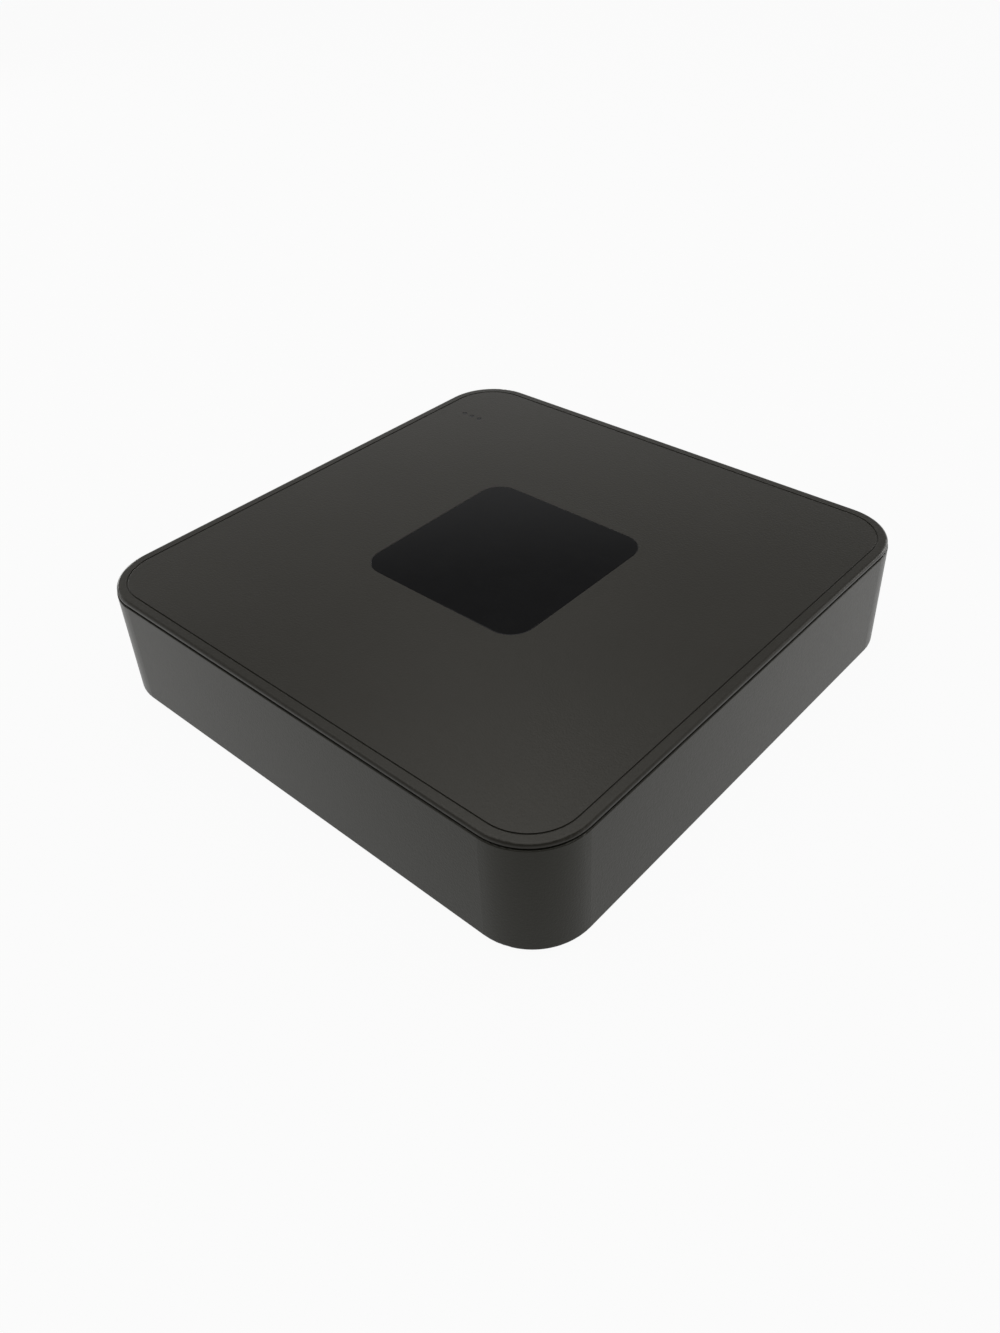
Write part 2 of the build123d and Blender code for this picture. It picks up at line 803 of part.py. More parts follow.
def monitor_jacks():
    """The two hexagonal pillars that take the plug's thumbscrews."""
    hexagon = RegularPolygon(jack_width / 2, 6, major_radius=False)
    tip = block_face + jack_out
    jacks = []
    for x in jack_x:
        pillar = panel(hexagon, block_face, tip, x, monitor_z)
        pillar += rod(jack_stud_radius, block_face - jack_stud_length, block_face, x, monitor_z)
        jacks.append(pillar - rod(jack_thread_radius, tip - jack_thread_depth, tip, x, monitor_z))
    return joined(jacks)


def digital_socket():
    """Metal case of the digital video socket, open to the rear."""
    x = socket_x["digital"]
    case = panel(digital_outline(), flush_face - digital_depth, flush_face, x, digital_z)
    root = flush_face - digital_depth + digital_back_wall
    return case - panel(digital_outline(-digital_wall), root, flush_face, x, digital_z)


def digital_tongue():
    x = socket_x["digital"]
    root = flush_face - digital_depth + digital_back_wall
    tip = flush_face - digital_tongue_back
    z = digital_z + digital_tongue_lift
    tongue = bar(digital_tongue_width, digital_tongue_thickness, root, tip, x, z)
    return tongue + panel(digital_outline(-digital_wall - seat_clearance), root, root + 1.2, x, digital_z)


def network_socket():
    """Shielded network socket with a plug cavity and latch notch, latch side down."""
    x = socket_x["network"]
    body = bar(network_width, network_height, flush_face - network_depth, flush_face, x, network_z)
    low = board_top + network_cavity_lift + network_latch_height
    back = flush_face - network_cavity_depth
    middle = low + network_cavity_height / 2
    cavity = bar(network_cavity_width, network_cavity_height, back, flush_face, x, middle)
    latch = bar(network_latch_width, 2 * network_latch_height, back + 5, flush_face, x, low)
    return body - cavity - latch


def network_wires():
    """Eight sprung contact wires that slope down from the top of the network socket."""
    top = board_top + network_cavity_lift + network_latch_height + network_cavity_height
    back = flush_face - network_cavity_depth
    wires = []
    for i in range(network_wire_count):
        x = socket_x["network"] + (i - (network_wire_count - 1) / 2) * network_wire_pitch
        start, end = Vector(x, flush_face - 4, top - 0.35), Vector(x, back + 0.3, top - network_wire_drop)
        run = end - start
        wires.append(Plane(origin=start, z_dir=run) * post(network_wire_radius, run.length))
    return joined(wires)


def serial_socket():
    """Stacked pair of serial bus sockets in one metal case."""
    x = socket_x["serial"]
    middle = board_top + serial_height / 2
    body = bar(serial_width, serial_height, flush_face - serial_depth, flush_face, x, middle)
    root = flush_face - serial_bay_depth
    bay_z = [board_top + lift + serial_bay_height / 2 for lift in serial_bay_lifts]
    return body - [bar(serial_bay_width, serial_bay_height, root, flush_face, x, z) for z in bay_z]


def serial_tongues():
    root = flush_face - serial_bay_depth
    tip = root + serial_tongue_depth
    drop = serial_bay_height - serial_tongue_thickness / 2 - serial_tongue_gap
    tongue_z = [board_top + lift + drop for lift in serial_bay_lifts]
    x = socket_x["serial"]
    return joined([bar(serial_tongue_width, serial_tongue_thickness, root, tip, x, z) for z in tongue_z])


def power_inlet():
    x = socket_x["inlet"]
    middle = board_top + inlet_height / 2
    body = bar(inlet_width, inlet_height, flush_face - inlet_depth, flush_face, x, middle)
    return body - rod(inlet_bore_radius, flush_face - inlet_bore_depth, flush_face, x, inlet_z)


def power_inlet_pin():
    root, tip = flush_face - inlet_bore_depth, flush_face - inlet_pin_back
    pin = rod(inlet_pin_radius, root, tip, socket_x["inlet"], inlet_z)
    return fillet(pin.edges().group_by(Axis.Y)[-1], inlet_pin_radius * 0.6)


# Main board
def on_board(x, along):
    """A place on the board: x from the middle, along from the board's front edge."""
    return x, board_front + along


def main_board():
    middle = (board_front + board_rear) / 2
    board = block(board_width, board_depth, board_thickness, 0, middle, board_bottom)
    notch = block(2 * board_notch_width, 2 * board_notch_depth, board_thickness)
    cuts = [Pos(side * board_width / 2, board_rear, board_bottom) * notch for side in (-1, 1)]
    cuts += [post(board_hole_radius, case_height, x, y) for x, y in board_mounts]
    return board - cuts


def board_screws():
    length = board_thickness + standoff_height - 0.5
    screw = pan_screw(board_screw_radius, screw_head_radius, board_screw_head, length)
    return joined([flipped(screw, x, y, board_top) for x, y in board_mounts])


def processor():
    x, y = on_board(*processor_at)
    return block(processor_size, processor_size, processor_height, x, y, board_top)


def heatsink():
    """Finned block that sits on the processor."""
    x, y = on_board(*processor_at)
    z = board_top + processor_height
    body = block(heatsink_size, heatsink_size, heatsink_base, x, y, z)
    pitch = (heatsink_size - heatsink_fin_thickness) / (heatsink_fins - 1)
    for i in range(heatsink_fins):
        fin_x = x - heatsink_size / 2 + heatsink_fin_thickness / 2 + i * pitch
        body += block(heatsink_fin_thickness, heatsink_size, heatsink_height, fin_x, y, z)
    return body


def flat_chips(places, size):
    width, depth, height = size
    return [block(width, depth, height, *on_board(*place), board_top) for place in places]


def signal_chips():
    """Memory, video decoders, network transformer and the small chips."""
    chips = flat_chips(memory_at, memory_size) + flat_chips(decoder_at, decoder_size)
    chips += flat_chips([transformer_at], transformer_size)
    for x, along, width, depth, height in small_chips:
        chips += flat_chips([(x, along)], (width, depth, height))
    return joined(chips)


def board_capacitors():
    cans = []
    for x, along, radius, height in capacitors:
        can = post(radius, height, *on_board(x, along), board_top)
        cans.append(fillet(can.edges().group_by(Axis.Z)[-1], radius * 0.12))
    return joined(cans)


def board_inductors():
    coils = flat_chips(inductors, inductor_size)
    return joined([chamfer(coil.edges().filter_by(Axis.Z), 1.2) for coil in coils])


def buzzer():
    x, y = on_board(*buzzer_at)
    can = post(buzzer_radius, buzzer_height, x, y, board_top)
    return can - post(buzzer_hole_radius, 2.0, x, y, board_top + buzzer_height - 2.0)


def cell_holder():
    x, y = on_board(*cell_at)
    cup_floor = board_top + cell_holder_height - cell_thickness
    cup = post(cell_holder_radius, cell_holder_height, x, y, board_top)
    return cup - post(cell_radius + cell_clearance, cell_thickness, x, y, cup_floor)


def clock_cell():
    x, y = on_board(*cell_at)
    cell = post(cell_radius, cell_thickness, x, y, board_top + cell_holder_height - cell_thickness)
    return fillet(cell.edges().group_by(Axis.Z)[-1], 0.3)


def status_lights():
    width, depth, height = light_body
    return joined([block(width, depth, height, x, y, board_top) for x, y in light_places])


# Disk drive
def drive_base():
    """Cast tray of the drive with the disc well, the arm well and its tapped feet."""
    body = block(drive_length, drive_width, casting_top - drive_bottom, drive_x, drive_y, drive_bottom)
    body = chamfer(body.edges().filter_by(Axis.Z), 1.5)
    well = post(drive_well_radius, drive_well_depth, spindle_x, drive_y, well_floor)
    arm_left = spindle_x + 20.0
    arm_right = drive_right - drive_end_wall
    arm_width = drive_width - 2 * drive_wall
    arm_middle = (arm_left + arm_right) / 2
    arm_well = slab(arm_right - arm_left, arm_width, 6.0, drive_well_depth, arm_middle, drive_y, well_floor)
    body -= [well, arm_well]
    body -= block(recess_length, recess_width, drive_board_recess, drive_x, drive_y, drive_bottom)
    body -= [post(drive_thread_radius, drive_thread_depth, x, y, drive_bottom) for x, y in drive_mounts]
    bay_width = drive_socket_width + 2 * socket_clearance
    bay = block(2 * drive_socket_depth, bay_width, drive_socket_height + socket_clearance)
    return body - Pos(drive_right, drive_socket_y, drive_bottom) * bay


def drive_cover():
    """Pressed steel lid of the drive with a round raised land over the discs."""
    width, depth = drive_length - 2 * drive_cover_inset, drive_width - 2 * drive_cover_inset
    lid = slab(width, depth, 2.5, drive_cover_thickness, drive_x, drive_y, casting_top)
    lid -= post(disc_radius - 3, 0.35, spindle_x, drive_y, drive_top - 0.35)
    lid -= [post(cover_screw_radius + 0.15, case_height, x, y, 0) for x, y in cover_screw_places()]
    return lid



def cover_screw_places():
    """Six screws round the rim of the drive's lid."""
    edge_y = drive_width / 2 - cover_screw_from_edge
    rows = (drive_left + 5.2, drive_x + 18.0, drive_right - 4.4)
    return [(x, drive_y + side * edge_y) for x in rows for side in (-1, 1)]


def drive_cover_screws():
    star = RegularPolygon(0.95, 6)
    heads = []
    for x, y in cover_screw_places():
        head = post(cover_screw_radius, drive_cover_thickness, x, y, casting_top)
        heads.append(head - Pos(x, y, drive_top - 0.7) * extrude(star, 0.7))
    return joined(heads)


def drive_circuit_board():
    """Thin board under the drive, its chips on the underside."""
    length = recess_length - 2 * drive_socket_depth - 2
    level = drive_bottom + drive_board_recess - drive_card_thickness
    board = block(length, recess_width - 1, drive_card_thickness, -drive_socket_depth)
    width, height = drive_chip_size
    chips = [block(width, width, height, x, y, -height) for x, y in drive_chip_at]
    return Pos(drive_x, drive_y, level) * (board + chips)


def drive_socket():
    """Black socket at the end of the drive with its data and power blades."""
    back = drive_right - drive_socket_depth
    middle = back + socket_back / 2
    base = block(socket_back, drive_socket_width, drive_socket_height, middle, drive_socket_y, drive_bottom)
    blade_x = back + socket_back + blade_reach / 2
    blade_z = plug_level - blade_thickness / 2
    for y, plug in ((data_y, data_plug), (power_y, power_plug)):
        base += block(blade_reach, plug[1] - 2 * plug_side, blade_thickness, blade_x, y, blade_z)
    return base


def shafts():
    """Fixed shafts of the spindle and the head arm."""
    height = casting_top - well_floor - 0.3
    spindle = post(shaft_radius, height, spindle_x, drive_y, well_floor)
    pivot = post(arm_pivot_radius, height, pivot_x, pivot_y, well_floor)
    return joined([spindle, pivot])


def spindle_hub():
    """Turning hub: a flange under the lower disc, the barrel inside the discs."""
    top = disc_levels[-1] + disc_thickness
    hub = post(hub_flange_radius, disc_levels[0] - hub_base_gap)
    hub += post(hub_radius, top - hub_base_gap)
    hub -= post(shaft_radius + running_clearance, top)
    return Pos(spindle_x, drive_y, well_floor + hub_base_gap) * hub


def disc(level):
    plate = post(disc_radius, disc_thickness, spindle_x, drive_y, well_floor + level)
    return plate - post(hub_radius + disc_bore_gap, case_height, spindle_x, drive_y)


def disc_spacer():
    bottom = disc_levels[0] + disc_thickness
    ring = post(spacer_radius, disc_levels[1] - bottom, spindle_x, drive_y, well_floor + bottom)
    return ring - post(hub_radius + disc_bore_gap, case_height, spindle_x, drive_y)


def disc_clamp():
    bottom = well_floor + disc_levels[-1] + disc_thickness
    clamp = post(clamp_radius, clamp_thickness, spindle_x, drive_y, bottom)
    clamp = fillet(clamp.edges().group_by(Axis.Z)[-1], 0.4)
    screw_floor = bottom + clamp_thickness - clamp_screw_depth
    middle = Pos(spindle_x, drive_y, screw_floor)
    hole = post(clamp_screw_radius, clamp_screw_depth)
    cuts = [middle * place * hole for place in PolarLocations(clamp_screw_circle, clamp_screw_count)]
    cuts.append(post(shaft_radius + running_clearance, case_height, spindle_x, drive_y))
    return clamp - cuts


def head_arm():
    """Barrel with three thin arms that reach between the discs, and the fork that holds the coil."""
    barrel_height = arm_levels[-1] + arm_plate_thickness - arm_levels[0]
    arm = post(arm_barrel_radius, barrel_height, z=arm_levels[0])
    root, tip = arm_root_width / 2, arm_tip_width / 2
    blade = make_face(Polyline((0, -root), (arm_length, -tip), (arm_length, tip), (0, root), close=True))
    blade -= Pos(arm_length * 0.48, 0) * SlotOverall(arm_length * 0.3, arm_tip_width)
    for level in arm_levels:
        arm += Pos(0, 0, level) * extrude(blade, arm_plate_thickness)
    first, last = 180 - fork_half_angle, 180 + fork_half_angle
    fork = sector(arm_barrel_radius - 2, coil_inner, first, last, coil_thickness, z=coil_level)
    arm += fork
    arm -= post(arm_pivot_radius + running_clearance, case_height)
    return place_on_pivot(arm)


def place_on_pivot(shape):
    """Puts a piece drawn along +X about the pivot where the arm is parked."""
    return Pos(pivot_x, pivot_y, well_floor) * Rot(0, 0, arm_park_angle) * shape


def arm_coil():
    """Flat copper coil at the tail of the arm."""
    first, last = 180 - coil_half_angle, 180 + coil_half_angle
    ring = sector(coil_inner, coil_outer, first, last, coil_thickness, z=coil_level)
    side = math.degrees(coil_width / (coil_inner + coil_width))
    inner, outer = coil_inner + coil_width, coil_outer - coil_width
    ring -= sector(inner, outer, first + side, last - side, coil_thickness, z=coil_level)
    return place_on_pivot(ring)


def magnet_yokes():
    """Steel plates under and over the coil, on two pillars that stand in the well."""
    lower = coil_level - yoke_gap - yoke_thickness
    upper = coil_level + coil_thickness + yoke_gap
    plate = sector(yoke_inner, yoke_outer, yoke_from, yoke_to, yoke_thickness)
    yoke = Pos(0, 0, lower) * plate + Pos(0, 0, upper) * plate
    for angle in (yoke_from + yoke_pillar_angle, yoke_to - yoke_pillar_angle):
        yoke += Rot(0, 0, angle) * post(yoke_pillar_radius, upper, yoke_pillar_circle)
    return Pos(pivot_x, pivot_y, well_floor) * yoke


def drive_screws():
    seat = drive_bottom - drive_head_seat
    length = drive_head_seat + drive_thread_depth - 1
    screw = pan_screw(drive_screw_radius, drive_head_radius, drive_head_height, length)
    return joined([Pos(x, y, seat) * screw for x, y in drive_mounts])


# Leads between board and drive
def tube(points, radius):
    """A round lead along straight runs joined by arcs that are as large as the runs allow."""
    spots = [Vector(*p) for p in points]
    radii = []
    for before, corner, after in zip(spots, spots[1:], spots[2:]):
        turn = (corner - before).get_angle(after - corner)
        shorter = min((corner - before).length, (after - corner).length)
        radii.append(0.45 * shorter / math.tan(math.radians(turn / 2)))
    path = FilletPolyline(*spots, radius=radii)
    section = Plane(origin=path @ 0, z_dir=path % 0) * Circle(radius)
    lead = sweep(section, path=path)
    expected = math.pi * radius**2 * path.length
    print("lead radii", [round(r, 1) for r in radii], "length", round(path.length, 1))
    print("lead volume", round(lead.volume, 1), "section times length", round(expected, 1))
    return lead


def drive_plugs():
    """The data plug and the power plug pushed on to the drive's blades."""
    plugs = []
    slot_height = blade_thickness + 2 * plug_slot_gap
    for y, (length, width, height) in ((data_y, data_plug), (power_y, power_plug)):
        plug = block(length, width, height, plug_mouth + length / 2, y, plug_level - height / 2)
        plug = fillet(plug.edges().filter_by(Axis.X), plug_edge_radius)
        slot_width = width - 2 * plug_side + 2 * plug_slot_gap
        slot = block(2 * blade_reach, slot_width, slot_height, plug_mouth, y, plug_level - slot_height / 2)
        plugs.append(plug - slot)
    return joined(plugs)


def data_lead():
    """Round data lead from the drive's plug, up and round to the plug on the board."""
    start_x = plug_mouth + data_plug[0]
    end_y = board_front + plug_overlap - data_board_plug[1]
    end_z = board_top + data_socket_size[2] / 2
    points = [
        (start_x, data_y, plug_level),
        (data_socket_x - 7.6, data_y, plug_level),
        (data_socket_x, data_y + 9.0, end_z),
        (data_socket_x, end_y, end_z),
    ]
    return tube(points, data_cord_radius)



def board_data_socket():
    """Socket lying on the front edge of the board, its mouth to the front."""
    width, depth, height = data_socket_size
    body = block(width, depth, height, data_socket_x, board_front + depth / 2, board_top)
    mouth_width = data_board_plug[0] + 2 * socket_clearance
    mouth_height = data_board_plug[2] + socket_clearance
    mouth_depth = plug_overlap + socket_clearance
    mouth_z = board_top + (height - mouth_height) / 2
    return body - block(mouth_width, 2 * mouth_depth, mouth_height, data_socket_x, board_front, mouth_z)


def board_data_plug():
    width, length, height = data_board_plug
    z = board_top + (data_socket_size[2] - height) / 2
    plug = block(width, length, height, data_socket_x, board_front + plug_overlap - length / 2, z)
    return fillet(plug.edges().filter_by(Axis.Y), plug_edge_radius)


def power_header():
    """Four-way header and its plug that stand on the board."""
    x, y = on_board(*power_header_at)
    width, depth, height = power_header_size
    header = block(width, depth, height, x, y, board_top)
    pocket_width, pocket_depth = [size + socket_clearance for size in power_header_plug[:2]]
    return header - block(pocket_width, pocket_depth, height, x, y, board_top + power_header_floor)


def power_header_cap():
    x, y = on_board(*power_header_at)
    width, depth, height = power_header_plug
    return block(width, depth, height, x, y, board_top + power_header_floor)


def power_wires():
    """Four insulated wires from the drive's power plug to the header, side by side, in their order there."""
    header_x, header_y = on_board(*power_header_at)
    cap_top = board_top + power_header_floor + power_header_plug[2]
    start_x = plug_mouth + power_plug[0]
    wires = []
    for i in range(4):
        off = (i - 1.5) * power_wire_pitch
        points = [
            (start_x, power_y + off, plug_level),
            (start_x + 12.0 - 0.5 * off, power_y + off, plug_level),
            (start_x + 16.0 - off, power_y + 11.0 + 0.5 * off, plug_level + 9.0),
            (start_x + 11.0 - off, header_y - 24.0, cap_top + 6.0),
            (header_x + 1.0 - off, header_y - 10.5, cap_top + 12.0),
            (header_x - off, header_y, cap_top + 10.5),
            (header_x - off, header_y, cap_top),
        ]
        wires.append(tube(points, power_wire_radius))
    return wires


# The whole recorder
wires = power_wires()
nodes = {
    "bottom_case": bottom_case(),
    "top_cover": top_cover(),
    "top_badge": top_badge(),
    "light_pipes": light_pipes(),
    "rubber_feet": rubber_feet(),
    "case_screws": case_screws(),
    "rear_plate": rear_plate(),
    "video_socket_blocks": video_blocks(),
    "video_socket_cores": video_cores(),
    "video_socket_contacts": video_contacts(),
    "audio_socket_block": audio_block(),
    "audio_socket_shells": audio_shells(),
    "audio_insulator_red": audio_insulator(audio_z[0]),
    "audio_insulator_white": audio_insulator(audio_z[1]),
    "monitor_socket_body": monitor_socket(),
    "monitor_socket_shell": monitor_shell(),
    "monitor_socket_jacks": monitor_jacks(),
    "digital_socket_shell": digital_socket(),
    "digital_socket_tongue": digital_tongue(),
    "network_socket": network_socket(),
    "network_socket_wires": network_wires(),
    "serial_socket": serial_socket(),
    "serial_socket_tongues": serial_tongues(),
    "power_inlet": power_inlet(),
    "power_inlet_pin": power_inlet_pin(),
    "main_board": main_board(),
    "board_screws": board_screws(),
    "processor": processor(),
    "heatsink": heatsink(),
    "signal_chips": signal_chips(),
    "board_capacitors": board_capacitors(),
    "board_inductors": board_inductors(),
    "buzzer_and_cell_holder": joined([buzzer(), cell_holder()]),
    "clock_cell": clock_cell(),
    "status_lights": status_lights(),
    "drive_base": drive_base(),
    "drive_cover": drive_cover(),
    "drive_cover_screws": drive_cover_screws(),
    "drive_circuit_board": drive_circuit_board(),
    "drive_socket": drive_socket(),
    "drive_shafts": shafts(),
    "drive_hub": joined([spindle_hub(), disc_spacer()]),
    "drive_disc_lower": disc(disc_levels[0]),
    "drive_disc_upper": disc(disc_levels[1]),
    "drive_disc_clamp": disc_clamp(),
    "drive_head_arm": head_arm(),
    "drive_arm_coil": arm_coil(),
    "drive_magnet_yokes": magnet_yokes(),
    "drive_screws": drive_screws(),
    "drive_plugs": drive_plugs(),
    "data_lead": data_lead(),
    "board_lead_sockets": joined([board_data_socket(), power_header()]),
    "board_lead_plugs": joined([board_data_plug(), power_header_cap()]),
    "power_wire_red": wires[0],
    "power_wires_black": joined(wires[1:3]),
    "power_wire_yellow": wires[3],
}
for i, x in enumerate(video_x):
    nodes[f"video_socket_shell_{i + 1}"] = video_shell(x)

os.makedirs("parts", exist_ok=True)
for name, shape in nodes.items():
    export_step(Pos(0, row_shift, 0) * shape, f"parts/{name}.step")
print(len(nodes), "nodes, row shift along Y", row_shift)
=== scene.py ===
import json
import math
import random

import bmesh
import bpy
from mathutils import Matrix, Vector


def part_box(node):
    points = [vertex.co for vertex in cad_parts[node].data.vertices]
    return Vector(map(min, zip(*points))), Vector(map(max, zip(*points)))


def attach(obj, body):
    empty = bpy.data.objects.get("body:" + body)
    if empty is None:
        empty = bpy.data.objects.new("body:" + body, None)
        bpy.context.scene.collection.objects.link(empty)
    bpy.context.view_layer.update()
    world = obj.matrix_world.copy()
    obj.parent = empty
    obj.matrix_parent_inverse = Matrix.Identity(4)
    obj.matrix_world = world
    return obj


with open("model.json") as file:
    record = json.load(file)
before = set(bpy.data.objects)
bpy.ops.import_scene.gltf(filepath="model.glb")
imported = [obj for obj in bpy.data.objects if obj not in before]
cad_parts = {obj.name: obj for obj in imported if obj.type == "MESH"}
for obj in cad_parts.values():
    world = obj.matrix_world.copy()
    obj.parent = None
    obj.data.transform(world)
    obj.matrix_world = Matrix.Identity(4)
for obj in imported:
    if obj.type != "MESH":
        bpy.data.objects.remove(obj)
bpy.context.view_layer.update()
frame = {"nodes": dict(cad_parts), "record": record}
nodes = frame["nodes"]
mm = 0.001
print("frame loaded:", len(nodes), "nodes")


# camera, floor and light

shot = {
    "azimuth": 43.12,
    "elevation": 35.88,
    "roll": -2.63,
    "distance": 413.06 * mm,
    "lens": 30.645,
    "sensor": 36,
    "nearest": 0.01,
    "shift": (-0.00533, -0.04754),
}


def placeCamera():
    low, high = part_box("bottom_case")
    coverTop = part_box("top_cover")[1][2]
    aim = Vector(
        ((low[0] + high[0]) / 2, (low[1] + high[1]) / 2, (low[2] + coverTop) / 2)
    )
    turn, tilt, roll = (math.radians(shot[k]) for k in ("azimuth", "elevation", "roll"))
    flat = math.cos(tilt)
    back = Vector((math.sin(turn) * flat, -math.cos(turn) * flat, math.sin(tilt)))
    right = Vector((math.cos(turn), math.sin(turn), 0))
    up = back.cross(right)
    rolledRight = right * math.cos(roll) + up * math.sin(roll)
    rolledUp = up * math.cos(roll) - right * math.sin(roll)
    camera = bpy.data.objects.new("camera", bpy.data.cameras.new("camera"))
    bpy.context.scene.collection.objects.link(camera)
    camera.matrix_world = Matrix.Translation(aim + back * shot["distance"]) @ Matrix(
        (rolledRight, rolledUp, back)
    ).transposed().to_4x4()
    camera.data.sensor_width = shot["sensor"]
    camera.data.lens = shot["lens"]
    camera.data.shift_x, camera.data.shift_y = shot["shift"]
    camera.data.clip_start = shot["nearest"]
    bpy.context.scene.camera = camera


def lightPath(tree, names):
    # 1 for any of the named kinds of ray
    path = tree.nodes.new("ShaderNodeLightPath")
    total = path.outputs[names[0]]
    for name in names[1:]:
        either = tree.nodes.new("ShaderNodeMath")
        either.operation = "MAXIMUM"
        tree.links.new(total, either.inputs[0])
        tree.links.new(path.outputs[name], either.inputs[1])
        total = either.outputs[0]
    return total


def mathOf(tree, operation, first, second):
    node = tree.nodes.new("ShaderNodeMath")
    node.operation = operation
    for source, socket in ((first, node.inputs[0]), (second, node.inputs[1])):
        if isinstance(source, (int, float)):
            socket.default_value = source
        else:
            tree.links.new(source, socket)
    return node.outputs[0]


def fadeToFront(tree, place, reach, levels):
    # dim towards the recorder's front corner, bright behind it
    coords = tree.nodes.new("ShaderNodeTexCoord")
    side = tree.nodes.new("ShaderNodeVectorMath")
    side.operation = "DOT_PRODUCT"
    side.inputs[1].default_value = room["brightSide"]
    fade = tree.nodes.new("ShaderNodeMapRange")
    for socket, number in zip(fade.inputs[1:5], (*reach, *levels)):
        socket.default_value = number
    tree.links.new(coords.outputs[place], side.inputs[0])
    tree.links.new(side.outputs["Value"], fade.inputs[0])
    return fade.outputs[0]


room = {
    "floorSize": 12.0,
    "floorColour": (0.45, 0.45, 0.44, 1),
    "floorRough": 0.9,
    "floorSpecular": 0.1,
    "floorGlow": 0.95,  # share of the floor's look that is plain white
    "floorFront": 0.12,  # the same in reflections at the front corner
    "floorFade": (-0.35, 0.1),
    "floorLevel": -0.0002,
    "skyLow": (1.0, 1.0, 1.0, 1),
    "skyHigh": (0.1, 0.1, 0.105, 1),
    "skyBand": (0.12, 0.56),  # sine of the height where it starts and ends darkening
    "brightSide": (-0.68, 0.73, 0),
    "skyStrength": 1.15,
    "dimSide": 0.16,
    "skyFade": (-0.9, 0.5),
}


def makeFloor():
    mesh = bpy.data.meshes.new("floor")
    half = room["floorSize"] / 2
    signs = ((-1, -1), (1, -1), (1, 1), (-1, 1))
    corners = [(x * half, y * half, room["floorLevel"]) for x, y in signs]
    mesh.from_pydata(corners, [], [(0, 1, 2, 3)])
    floor = bpy.data.objects.new("floor", mesh)
    bpy.context.scene.collection.objects.link(floor)
    material = bpy.data.materials.new("floorWhite")
    material.use_nodes = True
    tree = material.node_tree
    matt = tree.nodes["Principled BSDF"]
    matt.inputs["Base Color"].default_value = room["floorColour"]
    matt.inputs["Roughness"].default_value = room["floorRough"]
    matt.inputs["Specular IOR Level"].default_value = room["floorSpecular"]
    glow = tree.nodes.new("ShaderNodeEmission")
    mix = tree.nodes.new("ShaderNodeMixShader")
    levels = (room["floorFront"], room["floorGlow"])
    fade = fadeToFront(tree, "Object", room["floorFade"], levels)
    mirrored = mathOf(tree, "MULTIPLY", lightPath(tree, ["Is Glossy Ray"]), fade)
    direct = lightPath(tree, ["Is Camera Ray", "Is Transmission Ray"])
    seen = mathOf(tree, "MULTIPLY", direct, room["floorGlow"])
    tree.links.new(mathOf(tree, "MAXIMUM", mirrored, seen), mix.inputs[0])
    tree.links.new(matt.outputs[0], mix.inputs[1])
    tree.links.new(glow.outputs[0], mix.inputs[2])
    tree.links.new(mix.outputs[0], tree.nodes["Material Output"].inputs["Surface"])
    mesh.materials.append(material)


def makeSky():
    # white to the eye; what lights the recorder is a dome, bright low down
    # and away from the front corner
    world = bpy.data.worlds.new("studio")
    bpy.context.scene.world = world
    world.use_nodes = True
    tree = world.node_tree
    dome = tree.nodes["Background"]
    coords = tree.nodes.new("ShaderNodeTexCoord")
    split = tree.nodes.new("ShaderNodeSeparateXYZ")
    ramp = tree.nodes.new("ShaderNodeValToRGB")
    ramp.color_ramp.elements[0].color = room["skyLow"]
    ramp.color_ramp.elements[0].position = room["skyBand"][0]
    ramp.color_ramp.elements[1].color = room["skyHigh"]
    ramp.color_ramp.elements[1].position = room["skyBand"][1]
    tree.links.new(coords.outputs["Generated"], split.inputs[0])
    tree.links.new(split.outputs["Z"], ramp.inputs[0])
    tree.links.new(ramp.outputs[0], dome.inputs["Color"])
    levels = (room["dimSide"], room["skyStrength"])
    fade = fadeToFront(tree, "Generated", room["skyFade"], levels)
    tree.links.new(fade, dome.inputs["Strength"])
    white = tree.nodes.new("ShaderNodeBackground")
    white.inputs["Color"].default_value = (1, 1, 1, 1)
    mix = tree.nodes.new("ShaderNodeMixShader")
    tree.links.new(lightPath(tree, ["Is Camera Ray", "Is Transmission Ray"]), mix.inputs[0])
    tree.links.new(dome.outputs[0], mix.inputs[1])
    tree.links.new(white.outputs[0], mix.inputs[2])
    tree.links.new(mix.outputs[0], tree.nodes["World Output"].inputs["Surface"])


# place, size and power of each soft light; all of them face the middle of the floor
lamps = {
    "overhead": {"at": (0.0, 0.0, 1.3), "size": 1.9, "power": 14.0},
    "fromLeft": {"at": (-1.3, 0.1, 0.2), "size": 0.4, "power": 2.0},
    "fromRight": {"at": (0.6, 1.3, 0.3), "size": 0.5, "power": 3.0},
}


def makeLamps():
    for name, look in lamps.items():
        light = bpy.data.lights.new(name, "AREA")
        light.size = look["size"]
        light.energy = look["power"]
        lamp = bpy.data.objects.new(name, light)
        lamp.location = look["at"]
        lamp.visible_camera = False
        lamp.rotation_euler = (-Vector(look["at"])).to_track_quat("-Z", "Y").to_euler()
        bpy.context.scene.collection.objects.link(lamp)


placeCamera()
makeFloor()
makeSky()
makeLamps()
bpy.context.scene.view_settings.view_transform = "Standard"
print("camera, floor and lights placed")


# finishes


def newFinish(name, look):
    material = bpy.data.materials.new(name)
    material.use_nodes = True
    tree = material.node_tree
    shader = tree.nodes["Principled BSDF"]
    shader.inputs["Metallic"].default_value = look.get("metal", 0.0)
    shader.inputs["Specular IOR Level"].default_value = look.get("specular", 0.5)
    shader.inputs["Coat Weight"].default_value = look.get("coat", 0.0)
    shader.inputs["Coat Roughness"].default_value = look.get("coatRough", 0.05)
    shader.inputs["Transmission Weight"].default_value = look.get("clear", 0.0)
    shader.inputs["Specular Tint"].default_value = (*look.get("tint", (1, 1, 1)), 1)
    return material, tree, shader


